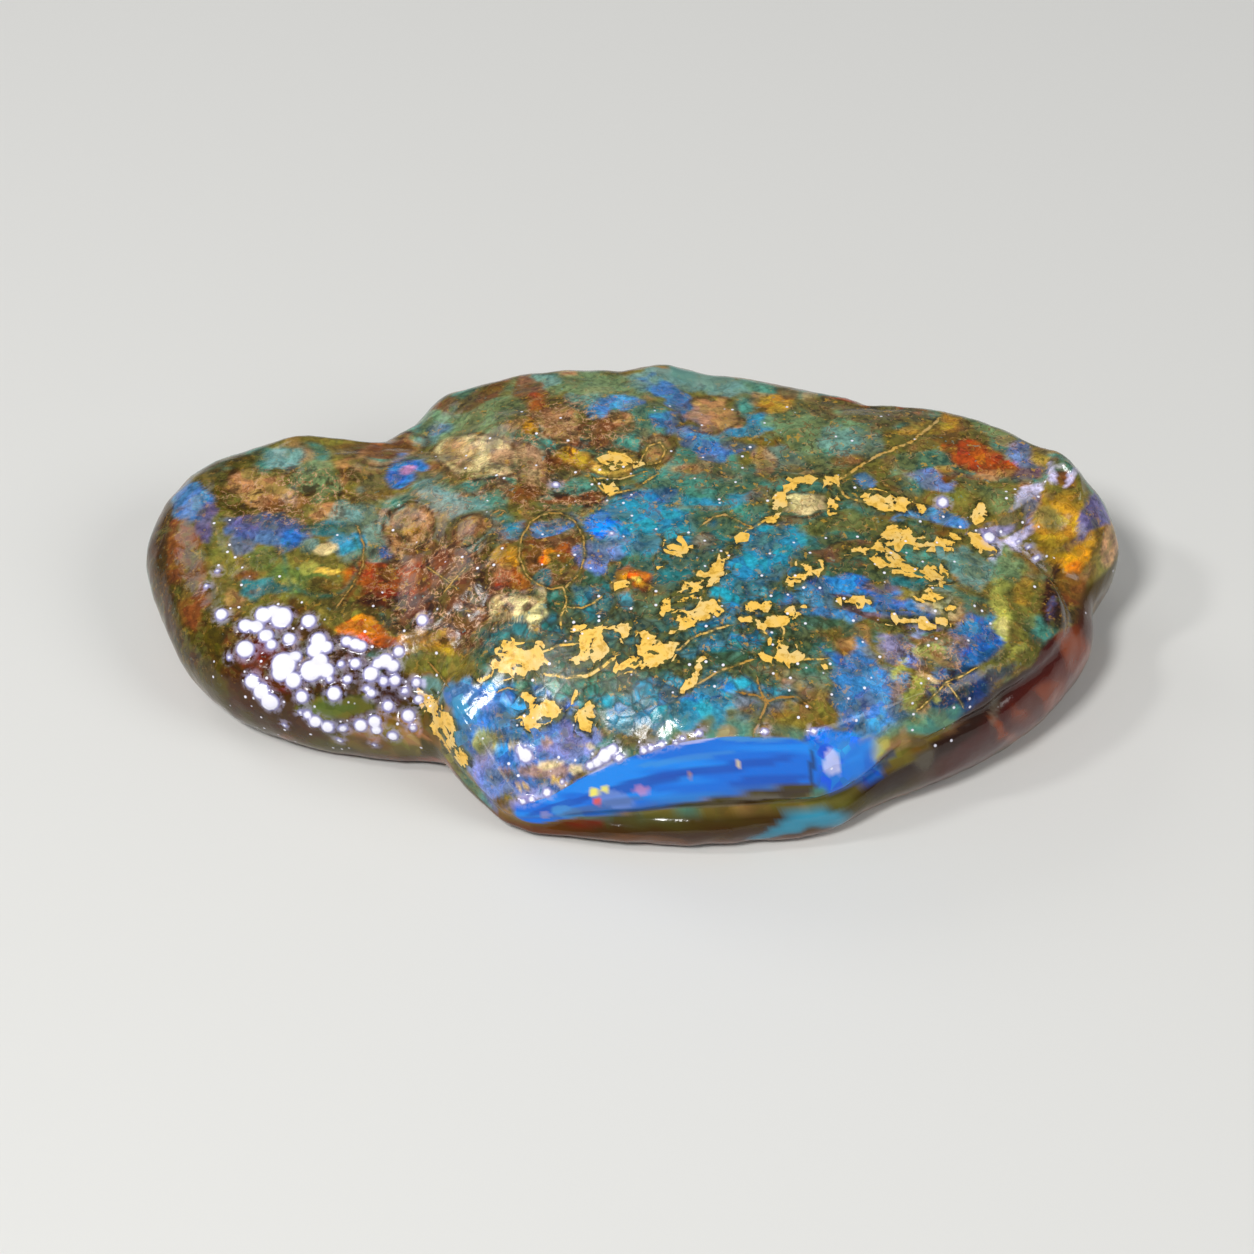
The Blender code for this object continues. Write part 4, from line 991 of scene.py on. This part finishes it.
def topColour(flat, px, py, bendX, bendY):
    # a mottled ground, then every spot with a torn edge, then the broken oval rims
    colour = mottled(flat, "moss", markLook["topGround"])
    ripples = [layeredNoise(flat, markLook["rippleNoise"], k) for k in range(markLook["ripples"])]
    for area, rows in zones.items():
        if area in lowAreas:
            continue
        for k, (name, *row) in enumerate(rows):
            reach = min(1.0, row[2] / markLook["fullBend"])
            share = blobShare(px + reach * bendX, py + reach * bendY, row)
            share = ragged(share, ripples[k % len(ripples)])
            colour = outlined(mixed(colour, name, share), name, share, row)
    for k, (name, *row) in enumerate(rims):
        share = rimShare(px + markLook["rimBend"] * bendX, py + markLook["rimBend"] * bendY, row)
        colour = mixed(colour, name, share * ramp(ripples[k % len(ripples)], *markLook["rimBreaks"]))
    return colour


def lowColour(flat, x, y):
    # the flank and the shelf: dark resin, redder at the foot, with soft spots
    colour = np.tile(linearColour(palette["oliveDark"]), (len(flat), 1))
    strength, *heights = markLook["lowFoot"]
    colour = mixed(colour, "redBrown", strength * ramp(flat[:, 2], *heights))
    for area in lowAreas:
        for name, *row in zones[area]:
            colour = mixed(colour, name, blobShare(x, y, row))
    return colour


def paintStone(flat, px, py, facing, low, bevel):
    # every colour and mark of the stone, as named attributes of its vertices
    seen = ramp(facing, 0.0, markLook["faces"])
    bendX, bendY = layeredNoise(flat, markLook["bendX"]), layeredNoise(flat, markLook["bendY"])
    x, y = px + markLook["sideBend"] * bendX, py + markLook["sideBend"] * bendY
    top = topColour(flat, px, py, bendX, bendY)
    colour = top + (lowColour(flat, x, y) - top) * low[:, None]
    colour += (bevelColour(flat, px, py) - colour) * bevel[:, None]
    colour += (hiddenColour(flat) - colour) * (1.0 - seen)[:, None]
    marks = {"stoneColour": colour}
    for name, rows in shares.items():
        marks[name] = np.max([blobShare(x, y, row) for row in rows], axis=0) * seen * (1.0 - bevel)
    hiddenCrust = markLook["hiddenCrust"] * (1.0 - seen)
    marks["crust"] = np.maximum(marks["crust"] * (1.0 - low), hiddenCrust) * (1.0 - bevel)
    marks["pebble"] = np.maximum(marks["pebble"], markLook["leastPebble"]) * (1.0 - low) * (1.0 - bevel)
    marks["bark"] *= 1.0 - low
    clear = markLook["clear"]
    through = clear["gain"] * marks["clear"] - clear["loss"] + clear["low"] * low
    marks["clear"] = np.clip(through + clear["hidden"] * (1.0 - seen), 0.0, clear["most"])
    gold = np.max([inwardDepth(px, py, outline) for outline in goldPatches.values()], axis=0)
    shown = seen * (1.0 - low) > markLook["shownLeast"]
    marks["goldDepth"] = np.where(shown, gold, -markLook["far"]) / pixelsPerMm
    marks["veinSide"], marks["veinGlow"], near = veinMarks(px, py)
    marks["veinNear"] = np.where(shown, 1.0 - ramp(near, *markLook["veinReach"]), 0.0)
    marks["beadDepth"] = beadDepths(flat, *beadPlaces(flat, px, py, facing))[0]
    sway = np.stack([layeredNoise(flat, markLook["swayNoise"], axis) for axis in range(3)], axis=-1)
    marks["bentPlace"] = (flat + amberLook["bend"] * sway) * mm
    return marks


def closedMesh(name, flat, marks, ringCount, profileCount):
    # quads between neighbouring rings, and a fan of triangles at the crown and at the middle underneath
    ring, column = np.meshgrid(np.arange(ringCount - 1), np.arange(profileCount), indexing="ij")
    after = (column + 1) % profileCount
    a, b = ring * profileCount + column, ring * profileCount + after
    quads = np.stack([a, a + profileCount, b + profileCount, b], axis=-1).reshape(-1, 4)
    crown, middle = ringCount * profileCount, ringCount * profileCount + 1
    column = np.arange(profileCount)
    after = (column + 1) % profileCount
    last = (ringCount - 1) * profileCount
    caps = np.stack([np.full(profileCount, crown), column, after], axis=-1)
    feet = np.stack([np.full(profileCount, middle), last + after, last + column], axis=-1)
    mesh = bpy.data.meshes.new(name)
    mesh.from_pydata((flat * mm).tolist(), [], quads.tolist() + caps.tolist() + feet.tolist())
    mesh.shade_smooth()
    for mark, values in marks.items():
        kind, slot = ("FLOAT", "value") if values.ndim == 1 else ("FLOAT_COLOR", "color")
        if mark == "bentPlace":
            kind, slot = "FLOAT_VECTOR", "vector"
        elif values.ndim == 2:
            values = np.concatenate([values, np.ones((len(values), 1))], axis=1)
        mesh.attributes.new(mark, kind, "POINT").data.foreach_set(slot, values.astype(np.float32).ravel())
    return mesh


# Polished blue amber: tree resin set hard, clouded and crusted near its skin, cut and hand polished.
# It gives the eye a wet gloss, colour that sits just under the surface, and brown glowing edges.

amberLook = {
    "ior": 1.54,
    "specular": 0.36,
    "bend": 0.20,  # mm, as all sizes here: how far the soft swirls pull the texture
    "noises": {  # size, detail, and what places it: straight, or bent by the swirls
        "grain": (0.4, 3.0, "bentPlace"), "film": (1.6, 3.5, "bentPlace"), "fibre": (1.0, 3.0, "bentPlace"),
        "fleck": (0.42, 2.0, "place"), "tear": (0.75, 3.5, "place"),
    },
    "noiseRoughness": 0.6,
    "cells": {  # size, what is measured, and what places it
        "cell": (0.8, "F1", "bentPlace"), "edge": (0.8, "DISTANCE_TO_EDGE", "bentPlace"),
        "speck": (0.5, "F1", "place"),  # real dust and sparkles are finer: drawn as coarse as a pixel
    },
    "cellRandomness": 0.95,
    "cellHue": (0.465, 0.535),  # 0.5 leaves the hue as it is
    "cellSaturation": 1.05,
    "cellLight": (0.65, 1.5),
    "grainLight": (0.32, 0.68, -0.45, 0.65),  # the grain's two ends, and what they add to the light
    "plainLight": 1.08,
    "bump": 0.027,
    "bumpStrength": 0.7,
    "glowColour": "#e8a050",  # what the resin lets through
    "glowDepth": 320.0,  # absorption for each metre
    # each step: its name, what it does and its inputs, where a name stands for a mark, a noise or an
    # earlier step. A range takes a value, the ends it runs between, and the results there if not 0 and 1
    "steps": [
        ("crusted", "range", "crust", 0.0, 0.3),
        # torn olive film with a dark rim and a light line
        ("filmPlace", "MULTIPLY_ADD", "crust", 0.12, "film"),
        ("filmShare", "range", "filmPlace", 0.57, 0.66, 0.0, 0.62),
        ("filmShare", "MULTIPLY", "filmShare", "crusted"),
        ("olive", "range", "grain", 0.38, 0.6),
        ("rimShare", "ADD", "filmPlace", -0.575),
        ("rimShare", "ABSOLUTE", "rimShare"),
        ("rimShare", "range", "rimShare", 0.004, 0.026, 0.75, 0.0),
        ("rimShare", "MULTIPLY", "rimShare", "crust"),
        ("litShare", "ADD", "filmPlace", -0.604),
        ("litShare", "ABSOLUTE", "litShare"),
        ("litShare", "range", "litShare", 0.003, 0.013, 0.7, 0.0),
        ("litWhere", "range", "fleck", 0.46, 0.56),
        ("litWhere", "MULTIPLY", "litWhere", "crust"),
        ("litShare", "MULTIPLY", "litShare", "litWhere"),
        # dark lines between the cells, and flecks of two colours
        ("edgeShare", "range", "edge", 0.0, 0.2, 0.6, 0.0),
        ("cellShare", "range", "pebble", 0.4, 1.0),
        ("edgeShare", "MULTIPLY", "edgeShare", "cellShare"),
        ("fleckShare", "range", "fleck", 0.62, 0.67, 0.0, 0.75),
        ("fleckShare", "MULTIPLY", "fleckShare", "crust"),
        ("fleckKind", "range", "film", 0.36, 0.5),
        # bark: crumpled light fibres over dark folds
        ("foldShare", "range", "fibre", 0.54, 0.64, 0.0, 0.9),
        ("foldShare", "MULTIPLY", "foldShare", "bark"),
        ("threadShare", "ADD", "fibre", -0.5),
        ("threadShare", "ABSOLUTE", "threadShare"),
        ("threadShare", "range", "threadShare", 0.0, 0.03, 1.0, 0.0),
        ("threadShare", "MULTIPLY", "threadShare", "bark"),
        # gold: torn patches with holes, in millimetres from their edge
        ("torn", "MULTIPLY_ADD", "tear", 0.72, -0.36),
        ("chipped", "MULTIPLY_ADD", "cellBlue", 0.66, -0.2508),
        ("depth", "ADD", "torn", "chipped"),
        ("depth", "ADD", "depth", "goldDepth"),
        ("solid", "range", "fibre", 0.575, 0.605, 1.0, 0.0),
        ("patch", "range", "depth", 0.03, 0.07),
        ("patch", "MULTIPLY", "patch", "solid"),
        ("patchHalo", "range", "depth", -0.42, 0.0, 0.0, 0.9),
        # thin broken veins, in half widths from their middle
        ("sideways", "MULTIPLY_ADD", "torn", 4.5, "veinSide"),
        ("sideways", "ABSOLUTE", "sideways"),
        ("broken", "range", "fleck", 0.42, 0.54, 0.15, 1.0),
        ("broken", "MULTIPLY", "broken", "veinNear"),
        ("vein", "range", "sideways", 0.5, 1.1, 1.0, 0.0),
        ("vein", "MULTIPLY", "vein", "broken"),
        ("veinHalo", "range", "sideways", 1.0, 4.2, 0.65, 0.0),
        ("veinHalo", "MULTIPLY", "veinHalo", "veinNear"),
        ("haloShare", "MAXIMUM", "patchHalo", "veinHalo"),
        ("goldShare", "MAXIMUM", "patch", "vein"),
        ("pale", "range", "film", 0.42, 0.68, 0.0, 0.6),
        ("deep", "range", "grain", 0.34, 0.5, 0.7, 0.0),
        ("bright", "MAXIMUM", "patch", "veinGlow"),
        # grains of white dust that partly stand for painted sparkle highlights, and painted highlights on
        # the beads: white tops with a lilac edge, and a pale lilac haze about them
        ("allowed", "MULTIPLY", "speckle", 0.4),
        ("chosen", "LESS_THAN", "speckRed", "allowed"),
        ("dustAndSparkleShare", "range", "speck", 0.12, 0.24, 1.0, 0.0),
        ("dustAndSparkleShare", "MULTIPLY", "dustAndSparkleShare", "chosen"),
        ("beadHighlightHazeShare", "range", "beadDepth", -0.5, -0.05, 0.0, 0.36),
        ("beadHighlightHazeShare", "MULTIPLY", "beadHighlightHazeShare", "olive"),
        ("beadHighlightEdgeShare", "range", "beadDepth", -0.12, 0.02, 0.0, 0.8),
        ("beadHighlightShare", "range", "beadDepth", 0.0, 0.16),
        # gloss, clearness and fine bumps
        ("opaque", "MAXIMUM", "goldShare", "beadHighlightShare"),
        ("satin", "MULTIPLY", "pebble", "crust"),
        ("rough", "MULTIPLY_ADD", "grain", 0.12, 0.06),
        ("rough", "MULTIPLY_ADD", "satin", 0.3, "rough"),
        ("dull", "MULTIPLY", "opaque", 0.28),
        ("rough", "MAXIMUM", "rough", "dull"),
        ("through", "SUBTRACT", 1.0, "opaque"),
        ("through", "MULTIPLY", "through", "clear"),
        ("pillow", "range", "edge", 0.0, 0.3, 0.0, 0.55),
        ("pillow", "MULTIPLY", "pillow", "pebble"),
        ("rise", "MULTIPLY_ADD", "grain", 0.9, "pillow"),
    ],
    # mixtures: name, share, the colour at none and the colour at all
    "mixtures": [
        ("filmColour", "olive", "darkOlive", "filmOlive"), ("rimColour", "olive", "darkOlive", "brown"),
        ("fleckColour", "fleckKind", "greyTeal", "ochre"), ("threadColour", "olive", "brown", "threadTan"),
        ("goldColour", "pale", "gold", "cream"), ("goldColour", "deep", "goldColour", "ochre"),
        ("goldColour", "bright", "brown", "goldColour"),
    ],
    # coats, each laid over the last: share and colour
    "coats": [
        ("filmShare", "filmColour"), ("rimShare", "rimColour"), ("litShare", "tan"),
        ("edgeShare", "darkOlive"), ("fleckShare", "fleckColour"), ("foldShare", "darkBrown"),
        ("threadShare", "threadColour"), ("haloShare", "filmColour"), ("goldShare", "goldColour"),
        # the white dust coat is partly painted sparkle; the pale lilac, lilac and last white coats are
        # painted highlights on the beads
        ("dustAndSparkleShare", "white"), ("beadHighlightHazeShare", "paleLilac"), ("beadHighlightEdgeShare", "lilac"), ("beadHighlightShare", "white"),
    ],
}


def addNode(tree, kind, settings=None, links=None):
    # one shader node: its settings, then its inputs, each a number, a colour, a node or a node's output
    made = tree.nodes.new("ShaderNode" + kind)
    for name, value in (settings or {}).items():
        setattr(made, name, value)
    for name, value in (links or {}).items():
        if isinstance(value, bpy.types.Node):
            value = next(output for output in value.outputs if output.enabled)
        if isinstance(value, bpy.types.NodeSocket):
            tree.links.new(value, made.inputs[name])
        else:
            made.inputs[name].default_value = value
    return made


def shaderColour(name):
    # a palette name or a hex, as linear red, green and blue and a full alpha
    return (*linearColour(palette.get(name, name)), 1.0)


def amberSkin(marks):
    # marks, noises and cells by name, the steps that turn them into shares, and coats by those shares
    material = bpy.data.materials.new("polishedBlueAmber")
    material.use_nodes = True
    tree = material.node_tree
    tree.nodes.clear()
    look, mix = amberLook, {"data_type": "RGBA"}
    made = {"place": addNode(tree, "TexCoord").outputs["Object"]}
    for name in marks:
        slot = {"stoneColour": "Color", "bentPlace": "Vector"}.get(name, "Fac")
        made[name] = addNode(tree, "Attribute", {"attribute_name": name}).outputs[slot]
    for name, (size, detail, at) in look["noises"].items():
        made[name] = addNode(tree, "TexNoise", None, {
            "Vector": made[at], "Scale": 1.0 / (size * mm), "Detail": detail,
            "Roughness": look["noiseRoughness"]})
    for name, (size, feature, at) in look["cells"].items():
        found = addNode(tree, "TexVoronoi", {"feature": feature}, {
            "Vector": made[at], "Scale": 1.0 / (size * mm), "Randomness": look["cellRandomness"]})
        made[name] = found.outputs["Distance"]
        if feature == "F1":  # a random colour for each cell, whose parts pick what differs
            pick = addNode(tree, "SeparateColor", None, {"Color": found.outputs["Color"]})
            for part in ("Red", "Green", "Blue"):
                made[name + part] = pick.outputs[part]

    def known(name):
        # what was made under this name, or else the palette's colour
        return made[name] if name in made else shaderColour(name)

    rangeInputs = ("Value", "From Min", "From Max", "To Min", "To Max")
    smooth = {"interpolation_type": "SMOOTHSTEP"}
    for name, what, *inputs in look["steps"]:
        inputs = [made.get(value, value) for value in inputs]
        if what == "range":
            made[name] = addNode(tree, "MapRange", smooth, dict(zip(rangeInputs, inputs)))
        else:
            made[name] = addNode(tree, "Math", {"operation": what}, dict(enumerate(inputs)))
    for name, share, under, over in look["mixtures"]:
        made[name] = addNode(tree, "Mix", mix, {0: made[share], 6: known(under), 7: known(over)})

    # cells a little different in hue and brightness, then grain in the brightness where there is crust
    hue, light = (addNode(tree, "MapRange", None, {"Value": made[part], "To Min": low, "To Max": high})
                  for part, (low, high) in (("cellRed", look["cellHue"]), ("cellGreen", look["cellLight"])))
    colour = made["stoneColour"]
    shifted = addNode(tree, "HueSaturation", None, {
        "Hue": hue, "Saturation": look["cellSaturation"], "Value": light, "Color": colour})
    colour = addNode(tree, "Mix", mix, {0: made["pebble"], 6: colour, 7: shifted})
    light = addNode(tree, "MapRange", None, dict(zip(rangeInputs, (made["grain"], *look["grainLight"]))))
    light = addNode(tree, "Math", {"operation": "MULTIPLY_ADD"}, {
        0: light, 1: made["crusted"], 2: look["plainLight"]})
    colour = addNode(tree, "HueSaturation", None, {"Value": light, "Color": colour})
    for share, over in look["coats"]:
        colour = addNode(tree, "Mix", mix, {0: made[share], 6: colour, 7: known(over)})

    bump = addNode(tree, "Bump", None, {
        "Strength": look["bumpStrength"], "Distance": look["bump"] * mm, "Height": made["rise"]})
    shader = addNode(tree, "BsdfPrincipled", None, {
        "Base Color": colour, "Roughness": made["rough"], "IOR": look["ior"],
        "Specular IOR Level": look["specular"], "Transmission Weight": made["through"], "Normal": bump})
    absorb = addNode(tree, "VolumeAbsorption", None, {
        "Color": shaderColour(look["glowColour"]), "Density": look["glowDepth"]})
    addNode(tree, "OutputMaterial", None, {"Surface": shader, "Volume": absorb})
    return material


# The stone, from its form to its skin

# where the low parts and the bevel are, in millimetres or in pixels of the picture
areas = {
    "lobeEnd": -13.0,  # left of this x the low part is under a height, right of it under the seam
    "lobeFoot": (2.4, 0.6),
    "seamEdge": (0.2, -0.3),  # above the seam where the low part starts and is full
    "bevelCut": (0.02, 0.12),  # what the plane took off, where the blue starts and is full
    "footEdge": (-1.5, 1.5),  # pixels across the line under the blue
    "flankEdge": (-2.0, 2.0),
    "flankStart": (866.0, 880.0),
}


def withPoles(values, top, bottom):
    # the grid as one row, and after it the crown's middle point and the underside's
    return np.concatenate([values.reshape(-1, *values.shape[2:]), [top], [bottom]])


def lookAt(grid):
    # the points in one row, their outward directions, their places in the picture, and how squarely they
    # face the eye: the cosine between outward and the line to it
    flat = withPoles(grid, grid[0].mean(axis=0), grid[-1].mean(axis=0))
    normal = withPoles(surfaceNormals(grid), np.array([0.0, 0.0, 1.0]), np.array([0.0, 0.0, -1.0]))
    eye = viewFrame()[0]
    toEye = eye - flat
    facing = (normal * toEye).sum(-1) / np.linalg.norm(toEye, axis=-1)
    return flat, normal, *pictureSpot(flat), facing


def lowAndBevel(grid, bevelled, px, py, facing):
    # share of the low parts: under the seam, under the blue's foot line and past the flank's edge;
    # share of the bevel: where the plane cut, above that foot line
    x, y, z = grid[..., 0], grid[..., 1], grid[..., 2]
    seam = around(6, angleOf(x, y), stoneForm["heightRounding"])
    above, below = areas["seamEdge"]
    low = np.where(x < areas["lobeEnd"], ramp(z, *areas["lobeFoot"]), ramp(z, seam + above, seam + below))
    low = withPoles(low, 0.0, 1.0)
    bevel = withPoles(ramp(bevelled, *areas["bevelCut"]) * ramp(x, *stoneForm["azureEnd"]), 0.0, 0.0)
    belowBlue = ramp(lineSide(px, py, azure["foot"])[0], *areas["footEdge"])
    bare = ramp(lineSide(px, py, flankEdge)[0], *areas["flankEdge"]) * ramp(px, *areas["flankStart"])
    low = np.maximum(np.maximum(low, bevel * belowBlue), bare * (facing > 0.0))
    return low, bevel * (1.0 - belowBlue)


print("stone: form")
grid, bevelled = stoneGrid()
grid, boxLow, boxHigh = fitToFrame(grid)
flat, normal, px, py, facing = lookAt(grid)
low, bevel = lowAndBevel(grid, bevelled, px, py, facing)

print("stone: relief")
under = ramp(-normal[:, 2], *relief["underFade"])
flat = flat + normal * reliefHeight(flat, px, py, facing, bevel, under)[:, None]
flat = np.clip(flat, boxLow, boxHigh)

print("stone: markings")
px, py = pictureSpot(flat)
marks = paintStone(flat, px, py, facing, low, bevel)
stone = bpy.data.objects.new("blueAmberStone", closedMesh("blueAmberStone", flat, marks, *grid.shape[:2]))
bpy.context.scene.collection.objects.link(stone)
stone.data.materials.append(amberSkin(marks))
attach(stone, "root")
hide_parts("amber_stone")


# The floor, the light and the camera

stage = {
    "floorSize": 1.6,
    "floorColour": "#d9d8d4",
    "floorRoughness": 0.85,
    "sky": "#e9edf2",
    "skyStrength": 0.24,
    # softboxes: direction from the stone, distance, width, power
    "softboxes": {
        "key": ((-0.28, -0.50, 0.82), 0.42, 0.09, 1.05),
        "side": ((-0.62, -0.12, 0.80), 0.42, 0.05, 0.32),
        "fill": ((0.75, -0.35, 0.65), 0.55, 0.30, 0.9),
        "back": ((-0.6, 0.6, 0.6), 0.60, 0.25, 0.4),
    },
    "clipStart": 0.01,
}


def paleFloor():
    # a flat sheet just under the stone
    half = stage["floorSize"] / 2.0
    corners = [(-half, -half, 0.0), (half, -half, 0.0), (half, half, 0.0), (-half, half, 0.0)]
    mesh = bpy.data.meshes.new("floor")
    mesh.from_pydata(corners, [], [(0, 1, 2, 3)])
    material = bpy.data.materials.new("paleMattFloor")
    material.use_nodes = True
    shader = material.node_tree.nodes["Principled BSDF"]
    shader.inputs["Base Color"].default_value = shaderColour(stage["floorColour"])
    shader.inputs["Roughness"].default_value = stage["floorRoughness"]
    mesh.materials.append(material)
    floor = bpy.data.objects.new("floor", mesh)
    bpy.context.scene.collection.objects.link(floor)


def softbox(name, direction, distance, size, power):
    # a round light at a distance along its direction, facing back along it
    light = bpy.data.lights.new(name, "AREA")
    light.shape = "DISK"
    light.size = size
    light.energy = power
    box = bpy.data.objects.new(name, light)
    at = Vector(direction).normalized()
    box.location = at * distance
    box.rotation_euler = at.to_track_quat("Z", "Y").to_euler()
    bpy.context.scene.collection.objects.link(box)


def softSky():
    # an even pale sky
    world = bpy.data.worlds.new("softSky")
    world.use_nodes = True
    background = world.node_tree.nodes["Background"]
    background.inputs["Color"].default_value = shaderColour(stage["sky"])
    background.inputs["Strength"].default_value = stage["skyStrength"]
    bpy.context.scene.world = world


def pictureCamera():
    # at the eye, with its right the cross product of forward and up
    eye, forward, upward = viewFrame()
    camera = bpy.data.objects.new("camera", bpy.data.cameras.new("camera"))
    camera.data.lens = pictureView["lens"]
    camera.data.sensor_width = pictureView["sensor"]
    camera.data.clip_start = stage["clipStart"]
    right = np.cross(forward, upward)
    turn = Matrix(np.stack([right, upward, -forward], axis=1).tolist())
    camera.matrix_world = Matrix.Translation(Vector(eye * mm)) @ turn.to_4x4()
    bpy.context.scene.collection.objects.link(camera)
    bpy.context.scene.camera = camera


print("stage: floor, light and camera")
paleFloor()
for lightName, lightRow in stage["softboxes"].items():
    softbox(lightName, *lightRow)
softSky()
pictureCamera()
bpy.context.scene.view_settings.view_transform = "Standard"
